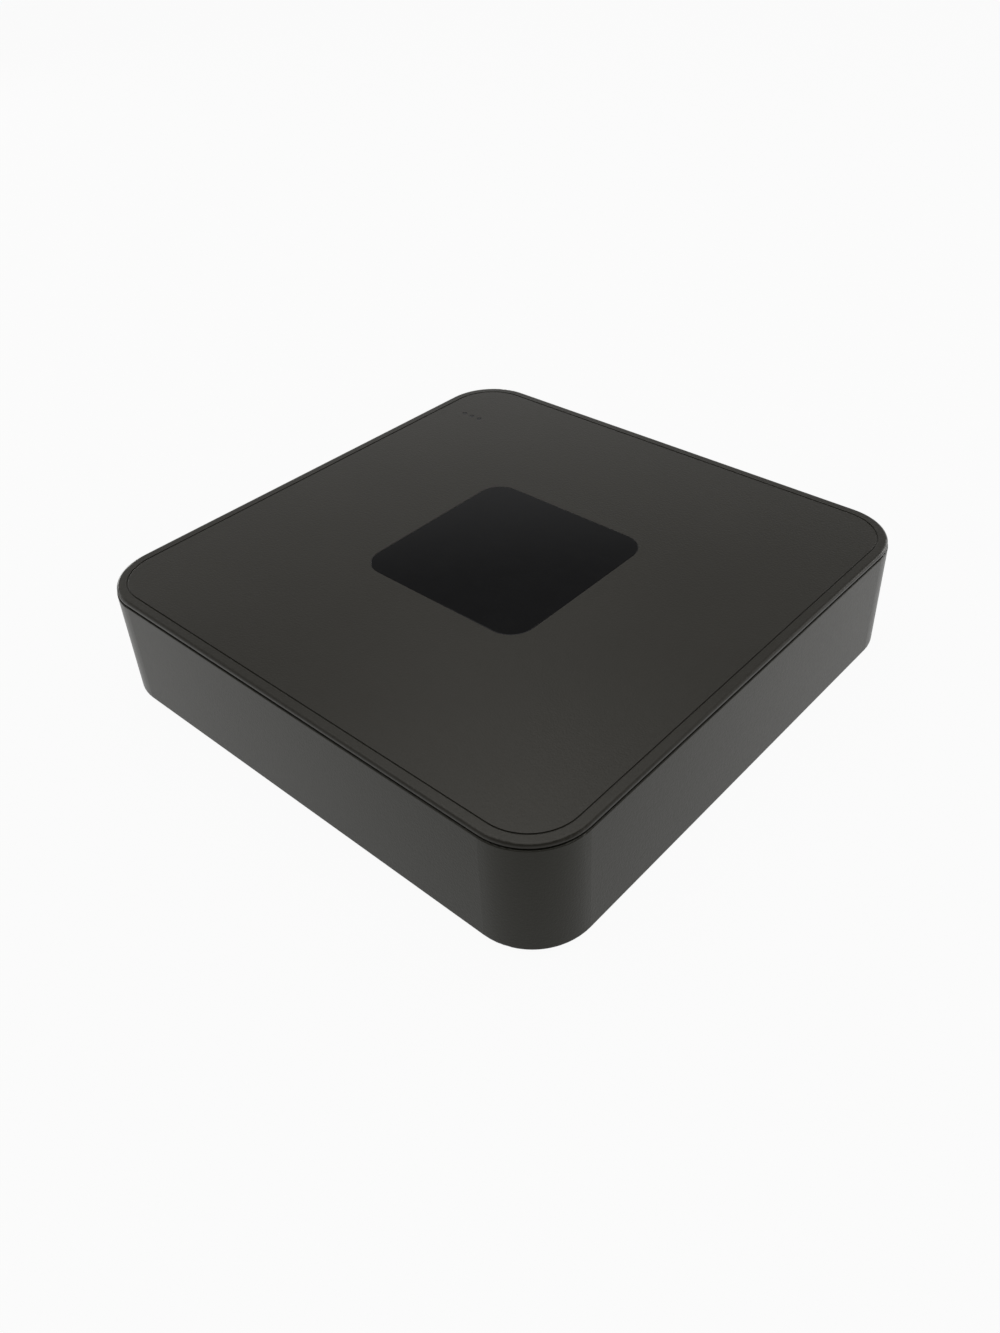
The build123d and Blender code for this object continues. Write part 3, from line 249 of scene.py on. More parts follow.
def objectPlace(tree, stretch=(1, 1, 1)):
    # a point on the piece in metres, stretched along X, Y and Z
    coords = tree.nodes.new("ShaderNodeTexCoord")
    mapping = tree.nodes.new("ShaderNodeMapping")
    mapping.inputs["Scale"].default_value = stretch
    tree.links.new(coords.outputs["Object"], mapping.inputs["Vector"])
    return mapping.outputs[0]


def noiseOf(tree, place, size, detail=2.0):
    noise = tree.nodes.new("ShaderNodeTexNoise")
    noise.inputs["Scale"].default_value = 1 / size
    noise.inputs["Detail"].default_value = detail
    tree.links.new(place, noise.inputs["Vector"])
    return noise.outputs[0]


def spread(tree, value, low, high, start=0.3, end=0.7):
    # start..end of a value becomes low..high
    band = tree.nodes.new("ShaderNodeMapRange")
    for socket, number in zip(band.inputs[1:5], (start, end, low, high)):
        socket.default_value = number
    tree.links.new(value, band.inputs[0])
    return band.outputs[0]


def blendOf(tree, share, first, second):
    ramp = tree.nodes.new("ShaderNodeValToRGB")
    ramp.color_ramp.elements[0].color = (*first, 1)
    ramp.color_ramp.elements[0].position = 0.3
    ramp.color_ramp.elements[1].color = (*second, 1)
    ramp.color_ramp.elements[1].position = 0.7
    tree.links.new(share, ramp.inputs[0])
    return ramp.outputs[0]


def layered(tree, share, under, over):
    # over laid on under where share is 1
    mix = tree.nodes.new("ShaderNodeMix")
    mix.data_type = "RGBA"
    for source, socket in ((share, mix.inputs[0]), (under, mix.inputs[6]), (over, mix.inputs[7])):
        if isinstance(source, tuple):
            socket.default_value = (*source, 1)
        else:
            tree.links.new(source, socket)
    return mix.outputs[2]


def bumpOf(tree, shader, height, depth):
    bump = tree.nodes.new("ShaderNodeBump")
    bump.inputs["Distance"].default_value = depth
    tree.links.new(height, bump.inputs["Height"])
    tree.links.new(bump.outputs[0], shader.inputs["Normal"])


def plainFinish(name, look):
    # one colour that drifts a little, a fine grain in the surface and an uneven gloss
    material, tree, shader = newFinish(name, look)
    place = objectPlace(tree, look.get("stretch", (1, 1, 1)))
    cloud = noiseOf(tree, place, look.get("cloudSize", 0.02), 3)
    grain = noiseOf(tree, place, look["grainSize"])
    colour = blendOf(tree, cloud, look["colour"], look["drift"])
    tree.links.new(colour, shader.inputs["Base Color"])
    tree.links.new(spread(tree, grain, *look["rough"]), shader.inputs["Roughness"])
    bumpOf(tree, shader, grain, look["grainDepth"])
    return material


finishes = {
    "case_plastic": {
        "colour": (0.0205, 0.0197, 0.0156),
        "drift": (0.0230, 0.0221, 0.0177),
        "rough": (0.28, 0.34),
        "grainSize": 0.0007,
        "grainDepth": 0.00005,
        "cloudSize": 0.05,
        "specular": 0.36,
        "tint": (1.0, 0.99, 0.88),
    },
    "cover_plastic": {
        "colour": (0.0265, 0.0247, 0.0198),
        "drift": (0.0292, 0.0273, 0.0221),
        "rough": (0.28, 0.34),
        "grainSize": 0.0007,
        "grainDepth": 0.00005,
        "cloudSize": 0.05,
        "specular": 0.36,
        "tint": (1.0, 0.98, 0.92),
    },
    "badge_black": {
        "colour": (0.002, 0.002, 0.0019),
        "drift": (0.0028, 0.0028, 0.0026),
        "rough": (0.07, 0.1),
        "grainSize": 0.006,
        "grainDepth": 0.000002,
    },
    "clear_plastic": {
        "colour": (0.012, 0.012, 0.012),
        "drift": (0.02, 0.02, 0.02),
        "rough": (0.08, 0.12),
        "grainSize": 0.002,
        "grainDepth": 0.000004,
        "clear": 0.4,
    },
    "foot_rubber": {
        "colour": (0.018, 0.018, 0.018),
        "drift": (0.03, 0.03, 0.03),
        "rough": (0.75, 0.92),
        "grainSize": 0.0004,
        "grainDepth": 0.00003,
        "specular": 0.3,
    },
    "screw_black": {
        "colour": (0.02, 0.02, 0.021),
        "drift": (0.04, 0.04, 0.042),
        "rough": (0.3, 0.45),
        "grainSize": 0.0006,
        "grainDepth": 0.000006,
        "metal": 0.9,
    },
    "screw_steel": {
        "colour": (0.55, 0.55, 0.53),
        "drift": (0.42, 0.43, 0.42),
        "rough": (0.26, 0.34),
        "grainSize": 0.002,
        "grainDepth": 0.000001,
        "metal": 1.0,
    },
    "plate_paint": {
        "colour": (0.016, 0.016, 0.016),
        "drift": (0.022, 0.022, 0.022),
        "rough": (0.4, 0.6),
        "grainSize": 0.0009,
        "grainDepth": 0.00006,
    },
    "nickel": {
        "colour": (0.66, 0.63, 0.57),
        "drift": (0.6, 0.57, 0.51),
        "rough": (0.2, 0.25),
        "grainSize": 0.003,
        "grainDepth": 0.0000008,
        "metal": 1.0,
    },
    "gold": {
        "colour": (0.83, 0.58, 0.22),
        "drift": (0.72, 0.48, 0.18),
        "rough": (0.18, 0.3),
        "grainSize": 0.001,
        "grainDepth": 0.000003,
        "metal": 1.0,
    },
    "tin_plate": {
        "colour": (0.6, 0.6, 0.59),
        "drift": (0.5, 0.5, 0.5),
        "rough": (0.3, 0.38),
        "grainSize": 0.002,
        "grainDepth": 0.0000008,
        "stretch": (1, 0.15, 1),
        "metal": 1.0,
    },
    "black_plastic": {
        "colour": (0.02, 0.02, 0.02),
        "drift": (0.028, 0.028, 0.028),
        "rough": (0.35, 0.5),
        "grainSize": 0.0005,
        "grainDepth": 0.000015,
    },
    "white_plastic": {
        "colour": (0.75, 0.74, 0.7),
        "drift": (0.66, 0.65, 0.6),
        "rough": (0.3, 0.42),
        "grainSize": 0.001,
        "grainDepth": 0.00001,
    },
    "red_plastic": {
        "colour": (0.45, 0.02, 0.015),
        "drift": (0.36, 0.015, 0.012),
        "rough": (0.28, 0.4),
        "grainSize": 0.001,
        "grainDepth": 0.00001,
    },
    "blue_plastic": {
        "colour": (0.02, 0.07, 0.33),
        "drift": (0.015, 0.05, 0.25),
        "rough": (0.3, 0.42),
        "grainSize": 0.001,
        "grainDepth": 0.00001,
    },
    "chip_black": {
        "colour": (0.022, 0.022, 0.023),
        "drift": (0.032, 0.032, 0.033),
        "rough": (0.5, 0.7),
        "grainSize": 0.00025,
        "grainDepth": 0.00001,
    },
    "heatsink_aluminium": {
        "colour": (0.05, 0.05, 0.052),
        "drift": (0.075, 0.075, 0.078),
        "rough": (0.35, 0.5),
        "grainSize": 0.0006,
        "grainDepth": 0.00001,
        "stretch": (1, 0.1, 1),
        "metal": 0.7,
    },
    "light_resin": {
        "colour": (0.75, 0.74, 0.6),
        "drift": (0.65, 0.6, 0.42),
        "rough": (0.12, 0.2),
        "grainSize": 0.0006,
        "grainDepth": 0.000004,
        "clear": 0.3,
    },
    "cast_aluminium": {
        "colour": (0.13, 0.13, 0.135),
        "drift": (0.2, 0.2, 0.205),
        "rough": (0.4, 0.6),
        "grainSize": 0.0007,
        "grainDepth": 0.00005,
        "metal": 0.8,
    },
    "drive_steel": {
        "colour": (0.5, 0.5, 0.51),
        "drift": (0.42, 0.42, 0.43),
        "rough": (0.3, 0.42),
        "grainSize": 0.0008,
        "grainDepth": 0.000008,
        "stretch": (0.12, 1, 1),
        "metal": 1.0,
    },
    "arm_aluminium": {
        "colour": (0.62, 0.62, 0.61),
        "drift": (0.52, 0.52, 0.52),
        "rough": (0.28, 0.42),
        "grainSize": 0.0006,
        "grainDepth": 0.000008,
        "metal": 1.0,
    },
    "cell_steel": {
        "colour": (0.66, 0.66, 0.64),
        "drift": (0.58, 0.58, 0.56),
        "rough": (0.24, 0.28),
        "grainSize": 0.003,
        "grainDepth": 0.0000006,
        "metal": 1.0,
    },
    "lead_red": {
        "colour": (0.36, 0.014, 0.012),
        "drift": (0.28, 0.01, 0.01),
        "rough": (0.38, 0.5),
        "grainSize": 0.0007,
        "grainDepth": 0.00001,
    },
    "wire_black": {
        "colour": (0.018, 0.018, 0.018),
        "drift": (0.026, 0.026, 0.026),
        "rough": (0.35, 0.48),
        "grainSize": 0.0007,
        "grainDepth": 0.00001,
    },
    "wire_yellow": {
        "colour": (0.65, 0.42, 0.02),
        "drift": (0.55, 0.35, 0.02),
        "rough": (0.35, 0.48),
        "grainSize": 0.0007,
        "grainDepth": 0.00001,
    },
    "resistor_top": {
        "colour": (0.012, 0.012, 0.014),
        "drift": (0.025, 0.025, 0.028),
        "rough": (0.25, 0.4),
        "grainSize": 0.0004,
        "grainDepth": 0.000006,
    },
    "capacitor_tan": {
        "colour": (0.28, 0.19, 0.11),
        "drift": (0.36, 0.26, 0.16),
        "rough": (0.4, 0.55),
        "grainSize": 0.0004,
        "grainDepth": 0.00001,
    },
    "solder_tin": {
        "colour": (0.66, 0.66, 0.66),
        "drift": (0.5, 0.5, 0.5),
        "rough": (0.26, 0.36),
        "grainSize": 0.0005,
        "grainDepth": 0.000003,
        "metal": 1.0,
    },
    "print_white": {
        "colour": (0.62, 0.62, 0.6),
        "drift": (0.52, 0.52, 0.5),
        "rough": (0.5, 0.65),
        "grainSize": 0.0004,
        "grainDepth": 0.000006,
    },
    "label_paper": {
        "colour": (0.62, 0.62, 0.6),
        "drift": (0.56, 0.56, 0.53),
        "rough": (0.45, 0.6),
        "grainSize": 0.0006,
        "grainDepth": 0.000008,
    },
    "lens_green": {
        "colour": (0.05, 0.3, 0.06),
        "drift": (0.04, 0.24, 0.05),
        "rough": (0.15, 0.25),
        "grainSize": 0.0008,
        "grainDepth": 0.000004,
    },
    "lens_amber": {
        "colour": (0.5, 0.2, 0.02),
        "drift": (0.42, 0.16, 0.02),
        "rough": (0.15, 0.25),
        "grainSize": 0.0008,
        "grainDepth": 0.000004,
    },
}

boardLook = {
    "mask": (0.008, 0.075, 0.03),
    "maskDrift": (0.011, 0.09, 0.038),
    "track": (0.022, 0.16, 0.07),
    "pad": (0.6, 0.57, 0.5),
    "cloudSize": 0.015,
    "trackPitch": 0.0011,
    "trackShare": 0.16,  # of the pitch
    "trackLength": 9,  # pitches
    "areaSize": 0.009,
    "viaPitch": 0.0042,
    "viaEdge": (0.07, 0.09),
    "raised": 0.00003,
    "rough": (0.28, 0.38),
}


def boardFinish():
    # green mask over raised tracks in blocks, with small bright vias
    material, tree, shader = newFinish("boardGreen", boardLook)
    place = objectPlace(tree)
    cloud = noiseOf(tree, place, boardLook["cloudSize"])
    mask = blendOf(tree, cloud, boardLook["mask"], boardLook["maskDrift"])
    bricks = tree.nodes.new("ShaderNodeTexBrick")
    bricks.inputs["Color1"].default_value = (0, 0, 0, 1)
    bricks.inputs["Color2"].default_value = (0, 0, 0, 1)
    bricks.inputs["Mortar"].default_value = (1, 1, 1, 1)
    bricks.inputs["Scale"].default_value = 1
    pitch = boardLook["trackPitch"]
    bricks.inputs["Mortar Size"].default_value = pitch * boardLook["trackShare"]
    bricks.inputs["Brick Width"].default_value = pitch * boardLook["trackLength"]
    bricks.inputs["Row Height"].default_value = pitch
    tree.links.new(place, bricks.inputs["Vector"])
    patches = noiseOf(tree, place, boardLook["areaSize"], 0)
    areas = spread(tree, patches, 0, 1, 0.48, 0.5)
    tracks = mathOf(tree, "MULTIPLY", bricks.outputs["Color"], areas)
    dots = tree.nodes.new("ShaderNodeTexVoronoi")
    dots.inputs["Scale"].default_value = 1 / boardLook["viaPitch"]
    tree.links.new(place, dots.inputs["Vector"])
    vias = spread(tree, dots.outputs["Distance"], 1, 0, *boardLook["viaEdge"])
    green = layered(tree, tracks, mask, boardLook["track"])
    colour = layered(tree, vias, green, boardLook["pad"])
    tree.links.new(colour, shader.inputs["Base Color"])
    tree.links.new(vias, shader.inputs["Metallic"])
    rough = spread(tree, cloud, *boardLook["rough"])
    tree.links.new(rough, shader.inputs["Roughness"])
    bumpOf(tree, shader, mathOf(tree, "ADD", tracks, vias), boardLook["raised"])
    return material


canLook = {
    "bare": (0.7, 0.7, 0.71),
    "sleeve": (0.01, 0.012, 0.03),
    "stripe": (0.55, 0.55, 0.56),
    "rough": (0.25, 0.38),
    "bareFrom": (0.55, 0.6),  # how far a face must look up to be bare
    "stripeFrom": (0.86, 0.88),
    "grainSize": 0.0006,
    "grainDepth": 0.000001,
}


def canFinish():
    # printed sleeve round the side with a pale stripe, bare metal on the top
    material, tree, shader = newFinish("canSleeve", canLook)
    coords = tree.nodes.new("ShaderNodeTexCoord")
    split = tree.nodes.new("ShaderNodeSeparateXYZ")
    tree.links.new(coords.outputs["Normal"], split.inputs[0])
    bare = spread(tree, split.outputs["Z"], 0, 1, *canLook["bareFrom"])
    stripe = spread(tree, split.outputs["X"], 0, 1, *canLook["stripeFrom"])
    side = layered(tree, stripe, canLook["sleeve"], canLook["stripe"])
    grain = noiseOf(tree, objectPlace(tree), canLook["grainSize"])
    colour = layered(tree, bare, side, canLook["bare"])
    tree.links.new(colour, shader.inputs["Base Color"])
    tree.links.new(bare, shader.inputs["Metallic"])
    tree.links.new(spread(tree, grain, *canLook["rough"]), shader.inputs["Roughness"])
    bumpOf(tree, shader, grain, canLook["grainDepth"])
    return material


discLook = {
    "colour": (0.72, 0.72, 0.73),
    "ring": (0.71, 0.71, 0.72),
    "rough": (0.05, 0.055),
    "ringPitch": 0.0006,
    "metal": 1.0,
}


def ringsRound(tree, node, pitch):
    # rings about the middle of a turned part
    low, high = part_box(node)
    place = tree.nodes.new("ShaderNodeTexCoord")
    shift = tree.nodes.new("ShaderNodeMapping")
    middle = ((low[0] + high[0]) / 2, (low[1] + high[1]) / 2)
    shift.inputs["Location"].default_value = (-middle[0], -middle[1], 0)
    shift.inputs["Scale"].default_value = (1, 1, 0)
    rings = tree.nodes.new("ShaderNodeTexWave")
    rings.wave_type = "RINGS"
    rings.rings_direction = "Z"
    # the wave repeats every 2 pi / (20 * scale), so the rings are 2 pi pitches apart
    rings.inputs["Scale"].default_value = 0.05 / pitch
    tree.links.new(place.outputs["Object"], shift.inputs["Vector"])
    tree.links.new(shift.outputs[0], rings.inputs["Vector"])
    return rings.outputs["Fac"]


def discFinish():
    material, tree, shader = newFinish("discMirror", discLook)
    rings = ringsRound(tree, "drive_disc_upper", discLook["ringPitch"])
    colour = blendOf(tree, rings, discLook["colour"], discLook["ring"])
    tree.links.new(colour, shader.inputs["Base Color"])
    tree.links.new(spread(tree, rings, *discLook["rough"]), shader.inputs["Roughness"])
    return material


coilLook = {
    "colour": (0.58, 0.2, 0.08),
    # painted shade: this darker colour in the gaps between the wires stands for the shadow there
    "gap": (0.2, 0.06, 0.03),
    "rough": (0.4, 0.25),  # between the wires and on them
    "wirePitch": 0.0005,
    "wireHeight": 0.00012,
    "metal": 0.9,
}


def coilFinish():
    # enamelled wire laid side by side, with painted shade as a darker colour in the gaps between
    # the wires
    material, tree, shader = newFinish("coilCopper", coilLook)
    turns = ringsRound(tree, "drive_arm_coil", coilLook["wirePitch"])
    # the ring pattern lays the painted shade in the gaps and the copper colour on the wires
    colour = blendOf(tree, turns, coilLook["gap"], coilLook["colour"])
    tree.links.new(colour, shader.inputs["Base Color"])
    rough = spread(tree, turns, *coilLook["rough"])
    tree.links.new(rough, shader.inputs["Roughness"])
    bumpOf(tree, shader, turns, coilLook["wireHeight"])
    return material


madeFinishes = {name: plainFinish(name, look) for name, look in finishes.items()}
madeFinishes["board_green"] = boardFinish()
madeFinishes["can_aluminium"] = canFinish()
madeFinishes["disc_mirror"] = discFinish()
madeFinishes["coil_copper"] = coilFinish()


def paintNodes():
    # each CAD part takes the finish of its own slot
    for part in frame["record"]["subparts"]:
        for slot in nodes[part["node"]].material_slots:
            slot.material = madeFinishes[part["material_slot"]]


paintNodes()
print("finishes made:", len(madeFinishes))


# small pieces that the parts carry


def solidBoxes(node):
    # low and high corner of each separate solid in a node
    work = bmesh.new()
    work.from_mesh(nodes[node].data)
    bmesh.ops.remove_doubles(work, verts=work.verts, dist=0.000001)
    left, boxes = set(work.verts), []
    while left:
        group, todo = [], [left.pop()]
        while todo:
            vert = todo.pop()
            group.append(vert.co.copy())
            for edge in vert.link_edges:
                other = edge.other_vert(vert)
                if other in left:
                    left.remove(other)
                    todo.append(other)
        low = Vector([min(p[i] for p in group) for i in range(3)])
        high = Vector([max(p[i] for p in group) for i in range(3)])
        boxes.append((low, high))
    work.free()
    return sorted(boxes, key=lambda b: tuple(b[0]))


brickFaces = (
    (0, 2, 3, 1), (4, 5, 7, 6), (0, 1, 5, 4), (1, 3, 7, 5), (3, 2, 6, 7), (2, 0, 4, 6)
)


def addBrick(work, low, high):
    # low and high are two far corners
    (x0, y0, z0), (x1, y1, z1) = low, high
    corners = [work.verts.new((x, y, z)) for z in (z0, z1) for y in (y0, y1) for x in (x0, x1)]
    for face in brickFaces:
        work.faces.new([corners[i] for i in face])


def addPrism(work, outline, bottom, top):
    # an upright prism on an outline of (x, y) points
    rings = [[work.verts.new((x, y, z)) for x, y in outline] for z in (bottom, top)]
    work.faces.new(rings[0][::-1])
    work.faces.new(rings[1])
    for i in range(len(outline)):
        j = (i + 1) % len(outline)
        work.faces.new((rings[0][i], rings[0][j], rings[1][j], rings[1][i]))


def finishPiece(work, name, finish, body="chassis", edge=0.0):
    mesh = bpy.data.meshes.new(name)
    work.to_mesh(mesh)
    work.free()
    piece = bpy.data.objects.new(name, mesh)
    bpy.context.scene.collection.objects.link(piece)
    mesh.materials.append(madeFinishes[finish])
    if edge:
        bevel = piece.modifiers.new("softEdges", "BEVEL")
        bevel.width = edge
        bevel.segments = 2
        bevel.limit_method = "ANGLE"
    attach(piece, body)


legLook = {
    "width": 0.28 * mm,
    "pitch": 0.8 * mm,
    "reach": 1.1 * mm,
    "foot": 0.55 * mm,
    "thick": 0.15 * mm,
    "shoulder": 0.45,  # share of the chip's height
    "cornerGap": 1.4 * mm,
    "leastSide": 3.5 * mm,  # smaller and taller chips have no legs
    "mostHeight": 3 * mm,
    "squareWithin": 1 * mm,  # square chips have legs on four sides
}


def addLeg(work, at, out, boardTop, shoulder):
    # one gull wing leg: out of the body, down, and along the board
    side = Vector((-out.y, out.x, 0)) * legLook["width"] / 2
    thick, reach, foot = legLook["thick"], legLook["reach"], legLook["foot"]
    line = [(0, shoulder), (reach - foot, shoulder), (reach - foot, boardTop), (reach, boardTop)]
    for (a, low), (b, high) in ((line[0], line[1]), (line[2], line[3]), (line[1], line[2])):
        ends = [at + out * min(a, b), at + out * max(a, b)]
        if a == b:
            ends[1] = ends[1] + out * thick
        corners = [p + s for p in ends for s in (-side, side)]
        lowZ, highZ = min(low, high), max(low, high) + thick
        low3 = Vector((min(c.x for c in corners), min(c.y for c in corners), lowZ))
        high3 = Vector((max(c.x for c in corners), max(c.y for c in corners), highZ))
        addBrick(work, low3, high3)


def makeChipLegs():
    work = bmesh.new()
    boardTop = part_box("main_board")[1][2]
    for low, high in solidBoxes("signal_chips"):
        size = high - low
        if size.z > legLook["mostHeight"] or min(size.x, size.y) < legLook["leastSide"]:
            continue
        shoulder = low.z + size.z * legLook["shoulder"]
        square = abs(size.x - size.y) < legLook["squareWithin"]
        for out in (Vector((1, 0, 0)), Vector((-1, 0, 0)), Vector((0, 1, 0)), Vector((0, -1, 0))):
            along = 1 if out.x else 0
            if not square and size[along] < size[1 - along]:
                continue
            middle = (low + high) / 2
            edge = middle + Vector((out.x * size.x, out.y * size.y, 0)) / 2
            edge.z = 0
            count = int((size[along] - legLook["cornerGap"]) / legLook["pitch"])
            for i in range(count + 1):
                at = edge.copy()
                at[along] += (i - count / 2) * legLook["pitch"]
                addLeg(work, at, out, boardTop, shoulder)
    finishPiece(work, "chipLegs", "solder_tin")


crystalLook = {
    "size": (11.2 * mm, 4.6 * mm, 3.4 * mm),
    "places": ((59.0, 28.0), (-40.0, 49.0)),  # mm from the board's middle and front
    "flange": 0.5 * mm,
    "edge": 0.25 * mm,
}


def crystalBoxes():
    low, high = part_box("main_board")
    middle = (low[0] + high[0]) / 2
    half = Vector(crystalLook["size"]) / 2
    boxes = []
    for x, y in crystalLook["places"]:
        place = Vector((middle + x * mm, low[1] + y * mm, high[2]))
        boxes.append((place - half, place + half))
    return boxes


scatterLook = {
    "seed": 11,
    "pitch": 2.3 * mm,
    "share": 0.42,  # of the places that hold a part
    "resistors": 0.55,  # of the parts
    "length": 1.6 * mm,
    "width": 0.8 * mm,
    "height": 0.5 * mm,
    "cap": 0.3 * mm,
    "capSkin": 0.02 * mm,
    "clear": 1.3 * mm,
    "above": 6 * mm,  # what starts higher over the board takes no place on it
    "below": 1 * mm,
    "margin": 2 * mm,
    "cutCorner": (17 * mm, 19 * mm),
}


def takenPlaces():
    # footprints on the board that small parts keep away from
    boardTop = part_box("main_board")[1][2]
    taken = []
    for node in frame["record"]["behaviour"]["bodies"]["chassis"]:
        if node in ("main_board", "bottom_case", "rear_plate", "rubber_feet"):
            continue
        for low, high in solidBoxes(node):
            near = low.z < boardTop + scatterLook["above"]
            if near and high.z > boardTop - scatterLook["below"]:
                taken.append((low, high))
    return taken


def makeSmallParts():
    # resistors and small capacitors in rows between the larger parts
    pick = random.Random(scatterLook["seed"])
    low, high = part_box("main_board")
    taken = takenPlaces() + crystalBoxes()
    made = {
        "smallResistors": "resistor_top",
        "smallCapacitors": "capacitor_tan",
        "partEnds": "solder_tin",
    }
    bodies = {name: bmesh.new() for name in made}
    columns = int((high[0] - low[0]) / scatterLook["pitch"])
    rows = int((high[1] - low[1]) / scatterLook["pitch"])
    gap = scatterLook["clear"]
    for row in range(1, rows):
        for column in range(1, columns):
            chance, kind, turned = pick.random(), pick.random(), pick.random() < 0.5
            x = low[0] + column * scatterLook["pitch"]
            y = low[1] + row * scatterLook["pitch"]
            centre = Vector((x, y, high[2]))
            if chance > scatterLook["share"] or not onBoard(centre, low, high):
                continue
            if any(inBox(centre, box, gap) for box in taken):
                continue
            resistor = kind < scatterLook["resistors"]
            addChip(bodies, centre, "smallResistors" if resistor else "smallCapacitors", turned)
    for name, finish in made.items():
        finishPiece(bodies[name], name, finish)


def inBox(place, box, gap):
    a, b = box
    return a.x - gap < place.x < b.x + gap and a.y - gap < place.y < b.y + gap


def onBoard(centre, low, high):
    # the board's rear corners are cut away round the posts
    margin = scatterLook["margin"]
    wide, deep = scatterLook["cutCorner"]
    across = low[0] + margin < centre.x < high[0] - margin
    along = low[1] + margin < centre.y < high[1] - margin
    fromSide = min(centre.x - low[0], high[0] - centre.x)
    nearCorner = centre.y > high[1] - deep and fromSide < wide
    return across and along and not nearCorner


def addChip(bodies, centre, kind, turned):
    half = Vector((scatterLook["length"] / 2, scatterLook["width"] / 2, 0))
    cap = Vector((scatterLook["cap"], 0, 0))
    if turned:
        half, cap = half.yxz, cap.yxz
    top = Vector((0, 0, scatterLook["height"]))
    addBrick(bodies[kind], centre - half + cap, centre + half - cap + top)
    ends = bodies["partEnds"]
    skin = Vector((0, 0, scatterLook["capSkin"]))
    wide = widthOf(half, cap)
    addBrick(ends, centre - half, centre - half + cap + wide + top + skin)
    addBrick(ends, centre + half - cap - wide, centre + half + top + skin)


def widthOf(half, cap):
    # across the part, where its end caps run the full width
    return Vector((0 if cap.x else 2 * half.x, 0 if cap.y else 2 * half.y, 0))


def addStadium(work, centre, length, width, bottom, top, steps=10):
    # a long prism with half round ends
    radius = width / 2
    outline = []
    for side in (1, -1):
        for i in range(steps + 1):
            turn = math.pi * i / steps - math.pi / 2
            x = side * (length / 2 - radius + radius * math.cos(turn))
            y = side * radius * math.sin(turn)
            outline.append((centre[0] + x, centre[1] + y))
    addPrism(work, outline, bottom, top)


def makeCrystals():
    work = bmesh.new()
    length, width, height = crystalLook["size"]
    flange = crystalLook["flange"]
    for low, high in crystalBoxes():
        centre = (low + high) / 2
        foot = centre.z + flange
        addStadium(work, centre, length + 2 * flange, width + 2 * flange, centre.z, foot)
        addStadium(work, centre, length, width, foot, centre.z + height)
    finishPiece(work, "crystalCans", "cell_steel", edge=crystalLook["edge"])


ventLook = {
    "arm": 0.62,  # share of the can's radius
    "width": 0.35 * mm,
    "height": 0.05 * mm,
    "sunk": 0.02 * mm,
}


def makeCanVents():
    # scored cross on the top of each can
    work = bmesh.new()
    for low, high in solidBoxes("board_capacitors"):
        middle = (low + high) / 2
        reach = (high.x - low.x) / 2 * ventLook["arm"]
        half = ventLook["width"] / 2
        for size in (Vector((reach, half, 0)), Vector((half, reach, 0))):
            bottom = Vector((middle.x, middle.y, high.z - ventLook["sunk"]))
            addBrick(work, bottom - size, bottom + size + Vector((0, 0, ventLook["height"])))
    finishPiece(work, "canVents", "solder_tin")


contactLook = {
    "count": 4,
    "width": 1.0 * mm,
    "thick": 0.12 * mm,
    "pitch": 2.3 * mm,
    "ends": (1 * mm, 0.8 * mm),  # from the back and the tip of the tongue
    "fineCount": 10,
    "fineWidth": 0.28 * mm,
    "finePitch": 0.98 * mm,
    "fineThick": 0.6,  # share of the thickness
    "fineEnds": (2 * mm, 0.7 * mm),
    "fineLevel": 0.35 * mm,  # the tongue's middle over the shell's
    "fineFace": 0.55 * mm,
}


def makeContacts():
    # flat contacts on the tongues of the serial and digital sockets
    work = bmesh.new()
    back, tip = contactLook["ends"]
    half = contactLook["width"] / 2
    for low, high in solidBoxes("serial_socket_tongues"):
        middle = (low.x + high.x) / 2
        for i in range(contactLook["count"]):
            x = middle + (i - (contactLook["count"] - 1) / 2) * contactLook["pitch"]
            start = Vector((x - half, low.y + back, low.z - contactLook["thick"]))
            addBrick(work, start, Vector((x + half, high.y - tip, low.z)))
    low, high = (Vector(p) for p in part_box("digital_socket_tongue"))
    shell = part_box("digital_socket_shell")
    middle = (low.x + high.x) / 2
    level = (shell[0][2] + shell[1][2]) / 2 + contactLook["fineLevel"]
    back, tip = contactLook["fineEnds"]
    half = contactLook["fineWidth"] / 2
    for i in range(contactLook["fineCount"]):
        x = middle + (i - (contactLook["fineCount"] - 1) / 2) * contactLook["finePitch"]
        for side in (-1, 1):
            face = level + side * contactLook["fineFace"]
            skin = side * contactLook["thick"] * contactLook["fineThick"]
            bottom, top = sorted((face, face + skin))
            start = Vector((x - half, low.y + back, bottom))
            addBrick(work, start, Vector((x + half, high.y - tip, top)))
    finishPiece(work, "socketContacts", "gold")


lensLook = {
    "width": 2.2 * mm,
    "height": 1.5 * mm,
    "thick": 0.12 * mm,
    "fromEdge": 0.5 * mm,
    "raised": 0.2 * mm,
    "edge": 0.05 * mm,
}


def makeNetworkFace():
    # two small lenses at the lower corners of the socket's face
    low, high = (Vector(p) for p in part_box("network_socket"))
    for name, finish, x in (
        ("networkLensGreen", "lens_green", high.x - lensLook["fromEdge"] - lensLook["width"]),
        ("networkLensAmber", "lens_amber", low.x + lensLook["fromEdge"]),
    ):
        work = bmesh.new()
        z = low.z + lensLook["fromEdge"] + lensLook["raised"]
        start = Vector((x, high.y, z))
        size = Vector((lensLook["width"], lensLook["thick"], lensLook["height"]))
        addBrick(work, start, start + size)
        finishPiece(work, name, finish, edge=lensLook["edge"])


printLook = {"height": 4.2 * mm, "thick": 0.03 * mm, "level": 31.2 * mm}


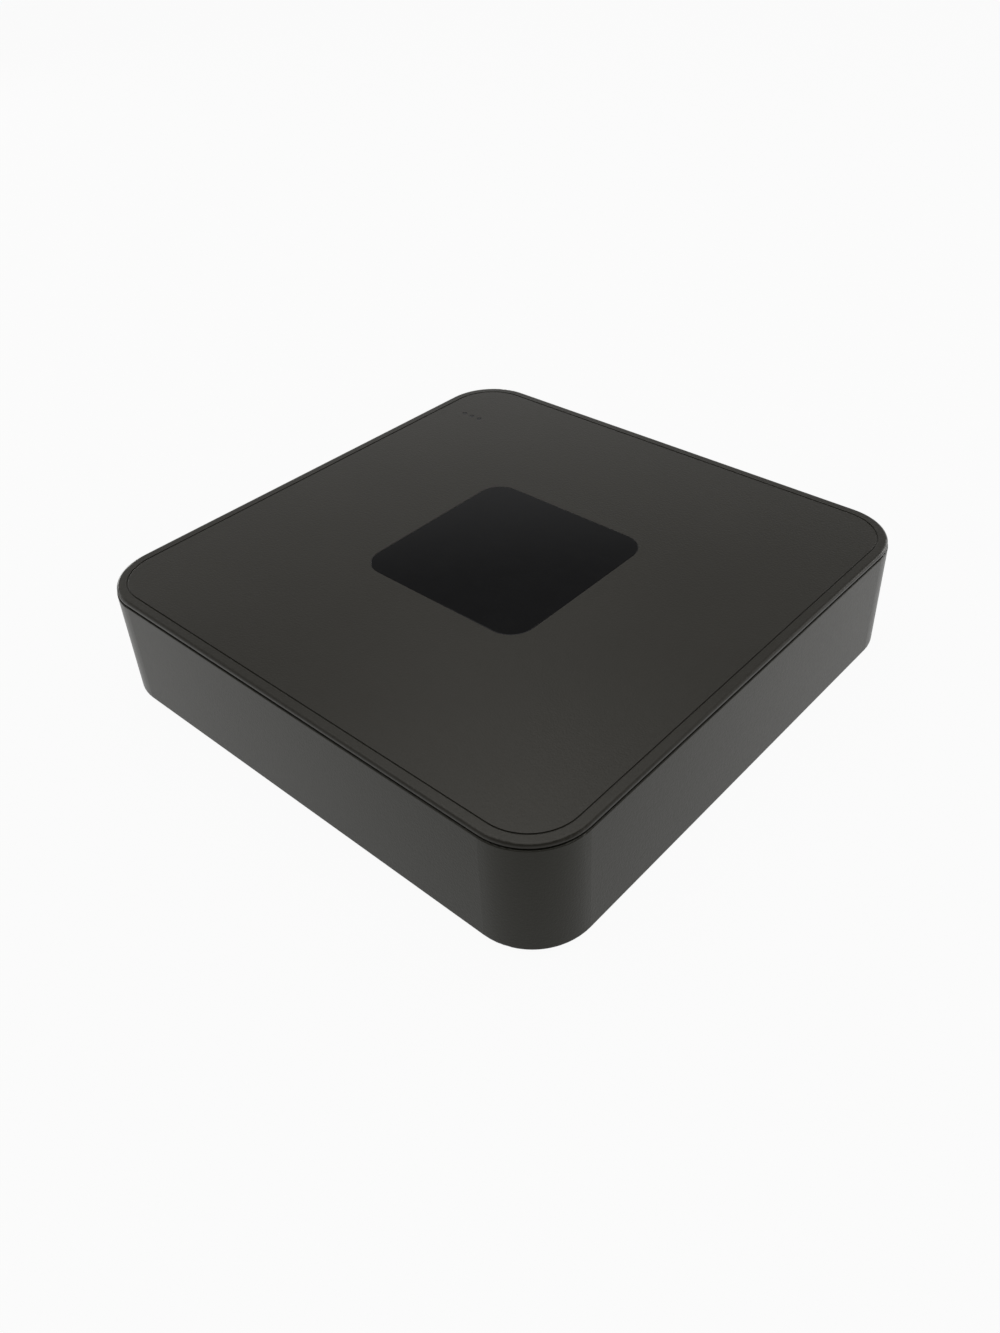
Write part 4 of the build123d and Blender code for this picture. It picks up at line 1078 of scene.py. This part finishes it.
def makeNumbers():
    # plain numbers over the four video sockets, read from behind
    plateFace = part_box("rear_plate")[1][1]
    boxes = [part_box(name) for name in nodes if name.startswith("video_socket_shell")]
    places = sorted(((low[0] + high[0]) / 2 for low, high in boxes), reverse=True)
    turn = Matrix(((-1, 0, 0), (0, 0, 1), (0, 1, 0))).to_4x4()
    for i, x in enumerate(places):
        curve = bpy.data.curves.new(f"number{i + 1}", "FONT")
        curve.body = str(i + 1)
        curve.size = printLook["height"]
        curve.align_x = "CENTER"
        curve.align_y = "CENTER"
        curve.extrude = printLook["thick"]
        number = bpy.data.objects.new(f"videoNumber{i + 1}", curve)
        place = Matrix.Translation((x, plateFace, printLook["level"]))
        number.matrix_world = place @ turn
        bpy.context.scene.collection.objects.link(number)
        curve.materials.append(madeFinishes["print_white"])
        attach(number, "chassis")


labelLook = {
    "size": (72 * mm, 58 * mm),
    "thick": 0.06 * mm,
    "shift": (28 * mm, 2 * mm),  # from the middle of the lid
    "corner": 2 * mm,
    "cornerSteps": 5,
}


def makeDriveLabel():
    # plain paper label on the lid of the disk drive
    low, high = (Vector(p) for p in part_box("drive_cover"))
    middle = (low + high) / 2
    centreX, centreY = middle.x + labelLook["shift"][0], middle.y + labelLook["shift"][1]
    halfX, halfY = (size / 2 for size in labelLook["size"])
    radius, steps = labelLook["corner"], labelLook["cornerSteps"]
    outline = []
    for sideX, sideY, start in ((1, 1, 0), (-1, 1, 90), (-1, -1, 180), (1, -1, 270)):
        for i in range(steps + 1):
            turn = math.radians(start + 90 / steps * i)
            x = centreX + sideX * (halfX - radius) + radius * math.cos(turn)
            y = centreY + sideY * (halfY - radius) + radius * math.sin(turn)
            outline.append((x, y))
    work = bmesh.new()
    addPrism(work, outline, high.z, high.z + labelLook["thick"])
    finishPiece(work, "driveLabel", "label_paper")


makeChipLegs()
makeSmallParts()
makeCrystals()
makeCanVents()
makeContacts()
makeNetworkFace()
makeNumbers()
makeDriveLabel()
print("small pieces made")

print("recorder finished")
